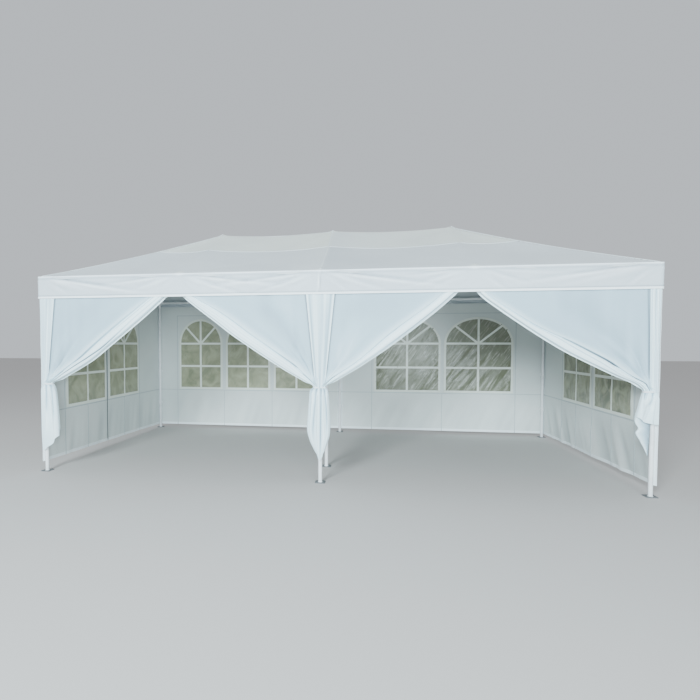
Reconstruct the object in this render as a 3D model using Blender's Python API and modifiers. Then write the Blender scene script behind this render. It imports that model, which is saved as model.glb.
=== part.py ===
"""A marquee tent, 3 m by 6 m: a frame of steel tubes, a sewn cover with a valance, walls with
clear windows, and front curtains that are tied back to the legs.

X runs along the front, -Y is the front and +Z is up. Left and right are as seen from the front.
The origin is on the ground, in the middle of the tent. All sizes are in metres.
"""

import math

import bmesh
import bpy
from mathutils import Vector

# Frame of steel tubes
BAY = 2.96  # spacing of the legs along the front and the back
DEPTH = 2.92  # spacing of the front legs from the back legs
EAVE_HEIGHT = 2.04  # axis of the eave rails
RIDGE_HEIGHT = 2.725  # axis of the ridge tubes
HIP_LENGTH = 1.54  # along the front, from a corner leg to where its hip meets the ridge
TUBE_RADIUS = 0.019
TUBE_SIDES = 12
SOCKET_RADIUS = 0.023
HUB_RADIUS = 0.027  # the ball in which the sockets of a connector meet
SOCKET_REACH = 0.09  # from the middle of a connector to the mouth of a socket
SLEEVE_RADIUS = 0.0215
SLEEVE_REACH = 0.06  # half the length of the sleeve around a long eave rail
FOOT_SIDE = 0.10
FOOT_THICKNESS = 0.005
PROP_OFFSET = 0.66  # from the front middle leg back to the prop post
FIT = 0.0003  # gap between pieces that touch

# Cover
CLOTH = 0.004
COVER_LIFT = 0.05  # the cover's underside above the axes of the rafters
COVER_OVERHANG = 0.04  # past the axes of the front and back legs
RAFTER_SAG = 0.022  # at the middle of every rafter
RIDGE_SAG = 0.028  # between the connectors on the ridge
PANEL_SAG = 0.02  # more than that between the rafters
VALANCE_DROP = 0.225
PANEL_STEPS = 12  # columns of faces across a cover panel
MIDDLE_SHARE = 2 / 3  # share of a long panel's columns that lie between its bay rafters
SLOPE_STEPS = 4  # rows of faces from the ridge to the eave rail, and one more overhangs it

# Walls and their windows
WALL_DROP = 0.065  # from the axes of the eave rails down to the top of the walls
WALL_FOOT = 0.05
WINDOW_SILL = 0.65
WINDOW_SPRING = 1.375  # where the arched head starts
WINDOW_TOP = 1.755
ARCH_STEPS = 12
BACK_LEFT_COUNT = 3
BACK_LEFT_WIDTH = 0.70
BACK_LEFT_GAP = 0.09
BACK_LEFT_MARGIN = 0.34  # from the wall's left leg to its first window
BACK_RIGHT_COUNT = 2
BACK_RIGHT_WIDTH = 0.96
BACK_RIGHT_GAP = 0.08
BACK_RIGHT_MARGIN = 0.54
SIDE_COUNT = 2
SIDE_WIDTH = 0.83
SIDE_GAP = 0.10
SIDE_MARGIN = 0.42  # from the front leg to the first window of a side wall
CLEAR_SHEET = 0.002
CLEAR_LAP = 0.03  # the clear sheet laps this far over the cloth around the windows

# Front curtains
DOORWAY = 1.43  # from the middle of the tent to where the two curtains of a bay meet
CURTAIN_BOW = 1.3  # above 1, the free edge bows down towards the doorway
CURTAIN_BELLY = 0.012
CURTAIN_STEPS = 8
TIE_HEIGHT = 0.94  # of the strap that ties the curtains to a leg
TIE_WIDTH = 0.025
MIDDLE_NECK = 0.055  # half the width of the gathered cloth where it is tied to the middle leg
CORNER_NECK = 0.07  # and to a corner leg
NECK_DEPTH = 0.032
GATHER_SIDES = 28
PLEATS = 7
PLEAT_DEPTH = 0.08  # as a share of the gather's size

# Worked out from the sizes above
HALF_DEPTH = DEPTH / 2
RIDGE_END = BAY - HIP_LENGTH
PITCH = (RIDGE_HEIGHT - EAVE_HEIGHT) / HALF_DEPTH
STEEPEST = math.atan(PITCH)
COVER_HALF_WIDTH = HALF_DEPTH + COVER_OVERHANG
COVER_HALF_LENGTH = RIDGE_END + HIP_LENGTH * COVER_HALF_WIDTH / HALF_DEPTH
COVER_RISE = CLOTH / math.cos(STEEPEST)
RIDGE_UNDERSIDE = RIDGE_HEIGHT + COVER_LIFT
EAVE_UNDERSIDE = RIDGE_UNDERSIDE - PITCH * COVER_HALF_WIDTH
BOSS_RISE = COVER_LIFT - (SOCKET_RADIUS + FIT) / math.cos(STEEPEST)
WALL_OFFSET = HUB_RADIUS + FIT  # from a leg's axis to the inner face of a wall
WALL_TOP = EAVE_HEIGHT - WALL_DROP

PLACES = {"left": -BAY, "middle": 0.0, "right": BAY}
SIDES = {"front": -HALF_DEPTH, "back": HALF_DEPTH}

WHITE_STEEL = ((0.86, 0.87, 0.88), 0.35, 0.0)
WHITE_CLOTH = ((0.86, 0.88, 0.91), 0.7, 0.0)
CLEAR_FILM = ((0.72, 0.72, 0.66), 0.15, 0.0)

for old in list(bpy.data.objects):
    bpy.data.objects.remove(old, do_unlink=True)

parts = bpy.data.collections.new("Marquee tent")
helpers = bpy.data.collections.new("Marquee tent cutters")
for group in (parts, helpers):
    bpy.context.scene.collection.children.link(group)


def add_object(name, mesh, finish=None):
    """A part with its own material, or a helper that only cuts or joins others."""
    item = bpy.data.objects.new(name, mesh)
    if finish is None:
        helpers.objects.link(item)
        item.hide_render = True
        item.display_type = "WIRE"
        return item
    parts.objects.link(item)
    colour, roughness, metallic = finish
    material = bpy.data.materials.new(name)
    material.use_nodes = True
    shader = material.node_tree.nodes["Principled BSDF"]
    shader.inputs["Base Color"].default_value = (*colour, 1)
    shader.inputs["Roughness"].default_value = roughness
    shader.inputs["Metallic"].default_value = metallic
    mesh.materials.append(material)
    return item


def mesh_from(name, shape):
    """The mesh of a finished bmesh, with its faces pointing out."""
    bmesh.ops.recalc_face_normals(shape, faces=shape.faces)
    mesh = bpy.data.meshes.new(name)
    shape.to_mesh(mesh)
    shape.free()
    return mesh


def combine(item, operation, others):
    """Joins helpers to a part, or cuts them from it, with live modifiers."""
    for other in others:
        modifier = item.modifiers.new(f"{operation.lower()} {other.name}", "BOOLEAN")
        modifier.operation = operation
        modifier.object = other
        modifier.solver = "EXACT"
    return item


def add_box(name, low, high, finish=None):
    """An upright box between two corners, placed by its middle."""
    low, high = Vector(low), Vector(high)
    shape = bmesh.new()
    bmesh.ops.create_cube(shape, size=1)
    bmesh.ops.scale(shape, vec=high - low, verts=shape.verts)
    box = add_object(name, mesh_from(name, shape), finish)
    box.location = (low + high) / 2
    return box


def add_rod(name, start, end, radius, finish=None):
    """A round bar from one point to another."""
    along = end - start
    shape = bmesh.new()
    bmesh.ops.create_cone(shape, cap_ends=True, segments=TUBE_SIDES, radius1=radius, radius2=radius,
                          depth=along.length)
    mesh = mesh_from(name, shape)
    mesh.shade_smooth()
    mesh.set_sharp_from_angle(angle=math.radians(40))
    rod = add_object(name, mesh, finish)
    rod.location = (start + end) / 2
    rod.rotation_euler = along.to_track_quat("Z", "Y").to_euler()
    return rod


def add_ball(name, middle, radius, finish=None):
    shape = bmesh.new()
    bmesh.ops.create_uvsphere(shape, u_segments=TUBE_SIDES, v_segments=TUBE_SIDES // 2, radius=radius)
    ball = add_object(name, mesh_from(name, shape), finish)
    ball.location = middle
    return ball


def add_boss(name, joint):
    """The round boss on top of a connector, on which the cover rests."""
    boss = add_ball(f"{name}_boss", joint + Vector((0, 0, BOSS_RISE)), SOCKET_RADIUS)
    boss.rotation_euler.z = math.pi / TUBE_SIDES  # so that its edges cross the hub's cleanly
    return boss


def eave_joint(x, y):
    return Vector((x, y, EAVE_HEIGHT))


def ridge_joint(x):
    return Vector((x, 0, RIDGE_HEIGHT))


def on_way(start, end, distance):
    """The point at a distance from start on the way to end."""
    return start + (end - start).normalized() * distance


# Legs, each a tube on a welded foot plate, and the prop post under the front middle rafter


def add_post(name, x, y, top):
    post = add_rod(name, Vector((x, y, FOOT_THICKNESS / 2)), Vector((x, y, top)), TUBE_RADIUS, WHITE_STEEL)
    half = FOOT_SIDE / 2
    foot = add_box(f"{name}_foot", (x - half, y - half, 0), (x + half, y + half, FOOT_THICKNESS))
    return combine(post, "UNION", [foot])


for side, y in SIDES.items():
    for place, x in PLACES.items():
        add_post(f"leg_{side}_{place}", x, y, EAVE_HEIGHT - SOCKET_REACH - FIT)

prop_y = SIDES["front"] + PROP_OFFSET
prop = add_post("prop_post", 0, prop_y, EAVE_HEIGHT + PITCH * PROP_OFFSET)
saddle = add_rod("prop_post_saddle", eave_joint(0, SIDES["front"]), ridge_joint(0), TUBE_RADIUS + FIT)
combine(prop, "DIFFERENCE", [saddle])


# Connectors, each with one socket for every tube that meets there


def add_connector(name, joint, aims):
    hub = add_ball(name, joint, HUB_RADIUS, WHITE_STEEL)
    sockets = [
        add_rod(f"{name}_socket_{number}", joint, on_way(joint, aim, SOCKET_REACH), SOCKET_RADIUS)
        for number, aim in enumerate(aims)
    ]
    return combine(hub, "UNION", [*sockets, add_boss(name, joint)])


def ridge_above(x):
    """The ridge joint that the rafter from an eave joint at x climbs to."""
    return ridge_joint(max(-RIDGE_END, min(RIDGE_END, x)))


for side, y in SIDES.items():
    for place, x in PLACES.items():
        joint = eave_joint(x, y)
        aims = [Vector((x, y, 0)), ridge_above(x)]
        aims += [eave_joint(other, y) for other in PLACES.values() if abs(other - x) == BAY]
        aims += [eave_joint(x, -y)] if x else []
        add_connector(f"connector_{side}_{place}", joint, aims)

for place, x in {"left": -RIDGE_END, "middle": 0.0, "right": RIDGE_END}.items():
    aims = [eave_joint(x, y) for y in SIDES.values()]
    if x:
        aims += [eave_joint(math.copysign(BAY, x), y) for y in SIDES.values()]
        aims += [ridge_joint(0)]
    else:
        aims += [ridge_joint(-RIDGE_END), ridge_joint(RIDGE_END)]
    add_connector(f"ridge_connector_{place}", ridge_joint(x), aims)


# Rails, rafters and ridge tubes, each from the mouth of one socket to the mouth of the next


def add_tube(name, start, end):
    inset = SOCKET_REACH + FIT
    return add_rod(name, on_way(start, end, inset), on_way(end, start, inset), TUBE_RADIUS, WHITE_STEEL)


for side, y in SIDES.items():
    for place, x in {"left": -RIDGE_END, "right": RIDGE_END}.items():
        corner = eave_joint(PLACES[place], y)
        middle = eave_joint(x, y)
        name = f"rail_{side}_{place}"
        rail = add_tube(name, corner, eave_joint(0, y))
        along = Vector((SLEEVE_REACH, 0, 0))
        sleeve = add_rod(f"{name}_sleeve", middle - along, middle + along, SLEEVE_RADIUS)
        mouth = on_way(middle, ridge_joint(x), SOCKET_REACH)
        socket = add_rod(f"{name}_socket", middle, mouth, SOCKET_RADIUS)
        hub = add_ball(f"{name}_hub", middle, HUB_RADIUS)
        combine(rail, "UNION", [hub, add_boss(name, middle), sleeve, socket])
        add_tube(f"bay_rafter_{side}_{place}", middle, ridge_joint(x))
        add_tube(f"hip_rafter_{side}_{place}", corner, ridge_joint(x))
    add_tube(f"middle_rafter_{side}", eave_joint(0, y), ridge_joint(0))

for place, x in {"left": -RIDGE_END, "right": RIDGE_END}.items():
    front, back = (eave_joint(PLACES[place], y) for y in SIDES.values())
    add_tube(f"rail_{place}", front, back)
    add_tube(f"ridge_tube_{place}", ridge_joint(0), ridge_joint(x))


# Cover: four sewn panels that rest on the connectors and sag a little between them


def hump(share):
    """0 at both ends of a span and 1 in its middle."""
    return 4 * share * (1 - share)


def blend(first, last, share):
    return first + (last - first) * share


def plane_height(out, down):
    """The cover's underside along a rafter, at a distance out from the ridge in plan."""
    return RIDGE_UNDERSIDE - PITCH * out - RAFTER_SAG * hump(down)


def hip_reach(out):
    """From the middle of the tent to the hip, along the front."""
    return RIDGE_END + HIP_LENGTH * out / HALF_DEPTH


def long_panel(across, down, out):
    """A point of the front panel, with across from -1 to 1."""
    side = abs(across)
    ridge_dip = 0
    if side <= MIDDLE_SHARE:
        between = hump(side / MIDDLE_SHARE)
        ridge_dip = RIDGE_SAG * between * (1 - down)
        x = (RIDGE_END - FIT) * side / MIDDLE_SHARE
    else:
        outward = (side - MIDDLE_SHARE) / (1 - MIDDLE_SHARE)
        between = hump(outward)
        x = blend(RIDGE_END, hip_reach(out), outward) - FIT
    height = plane_height(out, down) - ridge_dip - PANEL_SAG * between * hump(down)
    return Vector((math.copysign(x, across), -max(FIT, out), height))


def end_panel(across, down, out):
    """A point of the right end panel, with across from -1 to 1."""
    height = plane_height(out, down) - PANEL_SAG * (1 - across ** 2) * hump(down)
    return Vector((hip_reach(out) + FIT * (1 - down), across * out, height))


def add_panel(name, place, flip):
    """A panel of the cover, as thick everywhere, with upright edges so that panels meet."""
    shape = bmesh.new()
    bmesh.ops.create_grid(shape, x_segments=PANEL_STEPS, y_segments=SLOPE_STEPS + 1, size=1)
    for point in shape.verts:
        row = (1 - point.co.y) / 2 * (SLOPE_STEPS + 1)
        down = min(row / SLOPE_STEPS, 1)
        out = HALF_DEPTH * down + COVER_OVERHANG * max(row - SLOPE_STEPS, 0)
        point.co = place(point.co.x, down, out) * flip
    bmesh.ops.remove_doubles(shape, verts=shape.verts, dist=0.0001)
    upper = bmesh.ops.extrude_face_region(shape, geom=shape.faces[:])["geom"]
    upper_points = [item for item in upper if isinstance(item, bmesh.types.BMVert)]
    bmesh.ops.translate(shape, verts=upper_points, vec=(0, 0, COVER_RISE))
    return add_object(name, mesh_from(name, shape), WHITE_CLOTH)


add_panel("cover_front", long_panel, Vector((1, 1, 1)))
add_panel("cover_back", long_panel, Vector((1, -1, 1)))
add_panel("cover_left", end_panel, Vector((-1, 1, 1)))
add_panel("cover_right", end_panel, Vector((1, 1, 1)))

# Valance: an upright strip sewn under each edge of the cover

valance_top = EAVE_UNDERSIDE - FIT
valance_foot = EAVE_UNDERSIDE - VALANCE_DROP
inner_width = COVER_HALF_WIDTH - CLOTH
for side, facing in {"front": -1, "back": 1}.items():
    ys = sorted((facing * COVER_HALF_WIDTH, facing * inner_width))
    add_box(f"valance_{side}", (-COVER_HALF_LENGTH, ys[0], valance_foot),
            (COVER_HALF_LENGTH, ys[1], valance_top), WHITE_CLOTH)
for side, facing in {"left": -1, "right": 1}.items():
    xs = sorted((facing * COVER_HALF_LENGTH, facing * (COVER_HALF_LENGTH - CLOTH)))
    add_box(f"valance_{side}", (xs[0], FIT - inner_width, valance_foot),
            (xs[1], inner_width - FIT, valance_top), WHITE_CLOTH)

# Walls: flat cloth with arched windows cut through, and a clear sheet sewn on inside them


def window_outline(middle, width):
    """Sill, upright sides and a half ellipse on top."""
    half = width / 2
    corners = [(middle - half, WINDOW_SILL), (middle + half, WINDOW_SILL)]
    for step in range(ARCH_STEPS + 1):
        angle = math.pi * step / ARCH_STEPS
        rise = (WINDOW_TOP - WINDOW_SPRING) * math.sin(angle)
        corners.append((middle + half * math.cos(angle), WINDOW_SPRING + rise))
    return corners


def add_wall(name, start, end, count, width, gap, first, place, turn):
    """A wall from start to end along its own length, with like windows from first onwards."""
    outlines = [[(start, WALL_FOOT), (end, WALL_FOOT), (end, WALL_TOP), (start, WALL_TOP)]]
    for number in range(count):
        outlines.append(window_outline(first + width / 2 + number * (width + gap), width))
    curve = bpy.data.curves.new(name, "CURVE")
    curve.dimensions = "2D"
    curve.fill_mode = "BOTH"
    curve.extrude = CLOTH / 2
    for outline in outlines:
        spline = curve.splines.new("POLY")
        spline.points.add(len(outline) - 1)
        spline.use_cyclic_u = True
        for point, (along, height) in zip(spline.points, outline):
            point.co = (along, height, 0, 1)
    drawn = bpy.data.objects.new(name, curve)
    helpers.objects.link(drawn)
    flat = bpy.data.meshes.new_from_object(drawn.evaluated_get(bpy.context.evaluated_depsgraph_get()))
    bpy.data.objects.remove(drawn, do_unlink=True)
    shape = bmesh.new()
    shape.from_mesh(flat)
    bmesh.ops.remove_doubles(shape, verts=shape.verts, dist=0.0001)
    wall = add_object(name, mesh_from(name, shape), WHITE_CLOTH)
    wall.location = place
    wall.rotation_euler = (math.pi / 2, 0, turn)
    return first + count * width + (count - 1) * gap


wall_y = HALF_DEPTH + WALL_OFFSET
wall_end = BAY + WALL_OFFSET
film_low = WINDOW_SILL - CLEAR_LAP
film_high = WINDOW_TOP + CLEAR_LAP
film_faces = (wall_y - FIT - CLEAR_SHEET, wall_y - FIT)
backs = {
    "left": (-wall_end - CLOTH, -FIT, BACK_LEFT_COUNT, BACK_LEFT_WIDTH, BACK_LEFT_GAP,
             PLACES["left"] + BACK_LEFT_MARGIN),
    "right": (FIT, wall_end + CLOTH, BACK_RIGHT_COUNT, BACK_RIGHT_WIDTH, BACK_RIGHT_GAP,
              PLACES["middle"] + BACK_RIGHT_MARGIN),
}
for place, (start, end, count, width, gap, first) in backs.items():
    last = add_wall(f"wall_back_{place}", start, end, count, width, gap, first,
                    (0, wall_y + CLOTH / 2, 0), 0)
    add_box(f"clear_sheet_back_{place}", (first - CLEAR_LAP, film_faces[0], film_low),
            (last + CLEAR_LAP, film_faces[1], film_high), CLEAR_FILM)

side_first = SIDES["front"] + SIDE_MARGIN
for place, facing in {"left": -1, "right": 1}.items():
    last = add_wall(f"wall_{place}", -wall_y - CLOTH, wall_y - FIT, SIDE_COUNT, SIDE_WIDTH, SIDE_GAP,
                    side_first, (facing * (wall_end + CLOTH / 2), 0, 0), math.pi / 2)
    film_outer = wall_end - FIT
    xs = sorted((facing * film_outer, facing * (film_outer - CLEAR_SHEET)))
    add_box(f"clear_sheet_{place}", (xs[0], side_first - CLEAR_LAP, film_low),
            (xs[1], last + CLEAR_LAP, film_high), CLEAR_FILM)

# Front curtains: each hangs from the eave, and its free edge is drawn back to a leg and tied


def neck_shift(half_width):
    """From a corner leg's axis inwards to the middle of the cloth gathered beside it."""
    return max(0, half_width - HUB_RADIUS)


def add_curtain(name, outer, doorway, neck):
    """A curtain from its fixed edge at x = outer to its free edge at the doorway."""
    shape = bmesh.new()
    bmesh.ops.create_grid(shape, x_segments=CURTAIN_STEPS, y_segments=CURTAIN_STEPS, size=1)
    bottom = TIE_HEIGHT + TIE_WIDTH / 2 + FIT
    for point in shape.verts:
        across, down = (1 + point.co.x) / 2, (1 - point.co.y) / 2
        free = blend(doorway, neck, down ** CURTAIN_BOW)
        belly = CURTAIN_BELLY * math.sin(math.pi * across) * math.sin(math.pi * down) ** 2
        point.co = (blend(outer, free, across), -wall_y - CLOTH / 2 - belly, blend(WALL_TOP, bottom, down))
    curtain = add_object(name, mesh_from(name, shape), WHITE_CLOTH)
    thick = curtain.modifiers.new("thickness", "SOLIDIFY")
    thick.thickness = CLOTH
    thick.offset = 0
    return curtain


for place, facing in {"left": -1, "right": 1}.items():
    doorway = facing * DOORWAY
    add_curtain(f"curtain_outer_{place}", facing * (wall_end - FIT), doorway + facing * FIT,
                facing * (BAY - neck_shift(CORNER_NECK) - CORNER_NECK))
    add_curtain(f"curtain_inner_{place}", facing * FIT, doorway - facing * FIT, facing * MIDDLE_NECK)

# Gathered tails: the cloth below each tie, wrapped around the leg, with the tie's strap at the top

# Height, half width and half depth of a tail, from the strap down to its point
LEFT_TAIL = (
    (0.895, 0.082, 0.034),
    (0.76, 0.094, 0.035),
    (0.60, 0.108, 0.036),
    (0.40, 0.108, 0.036),
    (0.31, 0.072, 0.034),
    (0.23, 0.034, 0.030),
)
MIDDLE_TAIL = (
    (0.895, 0.088, 0.034),
    (0.80, 0.096, 0.035),
    (0.66, 0.112, 0.036),
    (0.53, 0.118, 0.036),
    (0.44, 0.096, 0.034),
    (0.34, 0.058, 0.030),
    (0.23, 0.027, 0.026),
)
RIGHT_TAIL = (
    (0.895, 0.080, 0.034),
    (0.70, 0.093, 0.036),
    (0.61, 0.076, 0.035),
    (0.44, 0.056, 0.034),
    (0.32, 0.033, 0.030),
)
SQUARENESS = 0.6


def rounded(value):
    """Fills a round section out towards a box."""
    return math.copysign(abs(value) ** SQUARENESS, value)


def add_tail(name, leg_x, neck, profile, inward):
    """A loft through rings around the leg, closed at both ends, with the leg's bore cut out."""
    strap = [(TIE_HEIGHT + end * TIE_WIDTH / 2, neck, NECK_DEPTH) for end in (1, -1)]
    shape = bmesh.new()
    rings = []
    for height, half_width, half_depth in [*strap, *profile]:
        ring = []
        shift = inward * neck_shift(half_width)
        pleat = 0 if (height, half_width, half_depth) in strap else PLEAT_DEPTH
        for step in range(GATHER_SIDES):
            angle = 2 * math.pi * step / GATHER_SIDES
            size = 1 - pleat * (1 - math.cos(PLEATS * angle)) / 2
            x = leg_x + shift + size * half_width * rounded(math.cos(angle))
            y = SIDES["front"] + size * half_depth * rounded(math.sin(angle))
            ring.append(shape.verts.new((x, y, height)))
        rings.append(ring)
    for upper, lower in zip(rings, rings[1:]):
        for step in range(GATHER_SIDES):
            after = (step + 1) % GATHER_SIDES
            shape.faces.new((upper[step], lower[step], lower[after], upper[after]))
    shape.faces.new(rings[0])
    shape.faces.new(reversed(rings[-1]))
    tail = add_object(name, mesh_from(name, shape), WHITE_CLOTH)
    bore = add_rod(f"{name}_bore", Vector((leg_x, SIDES["front"], 0)),
                   Vector((leg_x, SIDES["front"], EAVE_HEIGHT)), TUBE_RADIUS + FIT)
    return combine(tail, "DIFFERENCE", [bore])


add_tail("curtain_tail_left", PLACES["left"], CORNER_NECK, LEFT_TAIL, 1)
add_tail("curtain_tail_middle", PLACES["middle"], MIDDLE_NECK, MIDDLE_TAIL, 0)
add_tail("curtain_tail_right", PLACES["right"], CORNER_NECK, RIGHT_TAIL, -1)
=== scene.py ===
"""Looks of a marquee tent, 3 m by 6 m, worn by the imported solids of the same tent.

X runs along the front, -Y is the front and +Z is up. All sizes are in metres.
"""

import math

import bpy
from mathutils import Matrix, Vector, noise


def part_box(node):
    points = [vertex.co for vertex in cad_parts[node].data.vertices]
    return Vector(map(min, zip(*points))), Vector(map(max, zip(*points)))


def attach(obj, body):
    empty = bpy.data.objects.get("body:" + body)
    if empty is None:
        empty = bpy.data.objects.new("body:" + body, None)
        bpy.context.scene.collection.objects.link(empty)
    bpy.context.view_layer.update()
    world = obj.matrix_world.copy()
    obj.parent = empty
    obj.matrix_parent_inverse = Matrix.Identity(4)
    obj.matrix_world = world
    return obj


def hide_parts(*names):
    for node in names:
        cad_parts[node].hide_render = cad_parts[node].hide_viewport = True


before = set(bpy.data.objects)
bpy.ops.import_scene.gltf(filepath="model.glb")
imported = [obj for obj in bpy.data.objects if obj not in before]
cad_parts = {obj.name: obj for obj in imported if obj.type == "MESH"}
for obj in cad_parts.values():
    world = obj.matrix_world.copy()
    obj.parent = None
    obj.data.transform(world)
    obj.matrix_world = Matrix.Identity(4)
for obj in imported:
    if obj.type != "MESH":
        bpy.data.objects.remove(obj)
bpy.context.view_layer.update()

# Camera
# The view is from in front of the right bay, at chest height, turned a little to the left.
# The picture is cropped off centre, which the shift repeats.
PICTURE = 700  # pixels, both ways
FOCAL_PIXELS = 499.0
VIEW_COLUMN = 293.0  # pixel where the lens points
VIEW_ROW = 364.4
SENSOR = 36.0
EYE = (0.509, -6.32, 1.354)
DOWNWARD = 2.23  # degrees
LEFTWARD = 9.13

view = bpy.data.objects.new("camera", bpy.data.cameras.new("camera"))
bpy.context.scene.collection.objects.link(view)
view.location = EYE
view.rotation_euler = (math.radians(90 - DOWNWARD), 0, math.radians(LEFTWARD))
view.data.sensor_width = SENSOR
view.data.lens = SENSOR * FOCAL_PIXELS / PICTURE
view.data.shift_x = (PICTURE / 2 - VIEW_COLUMN) / PICTURE
view.data.shift_y = (VIEW_ROW - PICTURE / 2) / PICTURE
bpy.context.scene.camera = view

# Studio
# A plain pale floor, an even pale sky, and two soft lights low in front, which reach in under the
# cover and leave the roof a shade darker than the valance.
FLOOR_SIDE = 80.0
FLOOR_COLOUR = (0.55, 0.52, 0.50, 1)
FLOOR_ROUGHNESS = 0.9
SKY_COLOUR = (0.76, 0.81, 0.86, 1)
SKY_STRENGTH = 0.86


def deselect():
    bpy.ops.object.select_all(action="DESELECT")


def plain_finish(name, colour, roughness):
    """A material with one shader, and that shader."""
    material = bpy.data.materials.new(name)
    material.use_nodes = True
    shader = material.node_tree.nodes["Principled BSDF"]
    shader.inputs["Base Color"].default_value = colour
    shader.inputs["Roughness"].default_value = roughness
    return material, shader


def soft_light(name, place, aim, side, watts, colour):
    lamp = bpy.data.lights.new(name, "AREA")
    lamp.shape = "SQUARE"
    lamp.size = side
    lamp.energy = watts
    lamp.color = colour
    light = bpy.data.objects.new(name, lamp)
    light.location = place
    light.rotation_euler = (Vector(aim) - Vector(place)).to_track_quat("-Z", "Y").to_euler()
    bpy.context.scene.collection.objects.link(light)


deselect()
bpy.ops.mesh.primitive_plane_add(size=FLOOR_SIDE, location=(0, 0, 0))
floor = bpy.context.object
floor.name = "floor"
floor.data.materials.append(plain_finish("studio floor", FLOOR_COLOUR, FLOOR_ROUGHNESS)[0])

world = bpy.data.worlds.new("studio sky")
world.use_nodes = True
sky = world.node_tree.nodes["Background"]
sky.inputs["Color"].default_value = SKY_COLOUR
sky.inputs["Strength"].default_value = SKY_STRENGTH
bpy.context.scene.world = world

soft_light("key light", (-2.8, -11.6, 4.8), (0, -0.5, 1.2), 3.0, 2150, (0.78, 0.93, 1.0))
soft_light("front light", (3.0, -12.5, 2.2), (0, 1.0, 0.7), 4.0, 1450, (0.77, 0.93, 1.0))

# Roof cover
# One sheet of white coated woven cloth, sewn from four panels, pulled over the frame like a fitted
# cover. It rests on the bosses of the connectors and sags a little between them, and its edge
# turns down over the eave rails, where the valance is sewn on.
COVER_THICKNESS = 0.002
RIDGE_SET = 0.0044  # from the top of the solid cover down to the cloth's middle at the ridge
HIP_COLUMNS = 44
MIDDLE_COLUMNS = 84
EDGE_TURNS = 3  # rows of faces around the turned edge
EDGE_TURN_DROP = 0.009  # of each of them
EDGE_TURN_OUT = 0.003  # how far all of them stand out
CORNER_ROUND = 0.02
RAFTER_SAG = 0.024
RIDGE_SAG = 0.030
PANEL_SAG = 0.024
BOSS_LIFT = 0.014  # the cloth stands up a little over each boss
BOSS_REACH = 0.035
PUCKER = 0.006  # height of the fine creases that run out from the bosses
PUCKER_REACH = 1.0
UNEVENNESS = 0.002
RIDGE_STRIP = 0.58  # from the ridge to the seam beside it, in plan; the cloth above is doubled
MERGE = 0.0002  # points of a sheet that are nearer than this become one
SHEET_ANGLE = 50  # degrees; flatter edges are shaded round

cover_low, cover_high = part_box("cover_front")
leg_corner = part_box("leg_back_right")
leg_x = (leg_corner[0].x + leg_corner[1].x) / 2
leg_y = (leg_corner[0].y + leg_corner[1].y) / 2
cover_x = cover_high.x
cover_y = -cover_low.y
ridge_x = cover_x - (cover_x - leg_x) * cover_y / (cover_y - leg_y)
ridge_z = cover_high.z - RIDGE_SET
eave_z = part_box("valance_front")[1].z
pitch = (ridge_z - eave_z) / cover_y
ridge_bosses = [(-ridge_x, 0), (0, 0), (ridge_x, 0)]
eave_bosses = [(x, side * leg_y) for x in (-leg_x, -ridge_x, 0, ridge_x, leg_x) for side in (-1, 1)]


def hump(share):
    """0 at both ends of a span and 1 in its middle."""
    return 4 * share * (1 - share)


def blend(first, last, share):
    return first + (last - first) * share


def smooth(low, high, value):
    """0 at low, 1 at high, and an even rise between them."""
    share = max(0.0, min(1.0, (value - low) / (high - low)))
    return share * share * (3 - 2 * share)


def bell(away, width):
    """1 where away is 0, and less the further away it is."""
    return math.exp(-(away / width) ** 2)


def wobble(x, y, seed):
    """A smooth random height, about -1 to 1, which is the same at every run."""
    return noise.noise(Vector((x, y, seed)))


def apply_modifier(piece, kind, **settings):
    bpy.context.view_layer.objects.active = piece
    modifier = piece.modifiers.new(kind.lower(), kind)
    for setting, value in settings.items():
        setattr(modifier, setting, value)
    bpy.ops.object.modifier_apply(modifier=modifier.name)


def face_outward(piece):
    """Merges the doubled points of a mesh and turns all its faces outward."""
    bpy.context.view_layer.objects.active = piece
    bpy.ops.object.mode_set(mode="EDIT")
    bpy.ops.mesh.select_all(action="SELECT")
    bpy.ops.mesh.remove_doubles(threshold=MERGE)
    bpy.ops.mesh.normals_make_consistent(inside=False)
    bpy.ops.object.mode_set(mode="OBJECT")


def shade_round(piece, degrees):
    piece.data.shade_smooth()
    piece.data.set_sharp_from_angle(angle=math.radians(degrees))


def shaped_sheet(name, columns, rows, place, thickness, mark=None):
    """A grid of cloth whose every point is placed by a function of two shares from 0 to 1.

    A second function of the same shares marks the cloth: 0.5 where it is plain, up to 1 for doubled
    cloth and for painted light, and down to 0 for painted shade, as in a crease. Half the thickness
    is on each side.
    """
    deselect()
    bpy.ops.mesh.primitive_grid_add(x_subdivisions=columns, y_subdivisions=rows, size=1)
    sheet = bpy.context.object
    sheet.name = name
    marks = sheet.data.attributes.new("doubling, painted light and shade", "FLOAT", "POINT")
    for number, point in enumerate(sheet.data.vertices):
        across, up = point.co.x + 0.5, point.co.y + 0.5
        point.co = place(across, up)
        marks.data[number].value = mark(across, up) if mark else 0.5
    face_outward(sheet)
    apply_modifier(sheet, "SOLIDIFY", thickness=thickness, offset=0)
    shade_round(sheet, SHEET_ANGLE)
    return sheet


def end_out(x):
    """How far out a point is on an end's slope, in plan, and 0 between the ends of the ridge."""
    return max(0.0, (abs(x) - ridge_x) / (cover_x - ridge_x) * cover_y)


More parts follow.
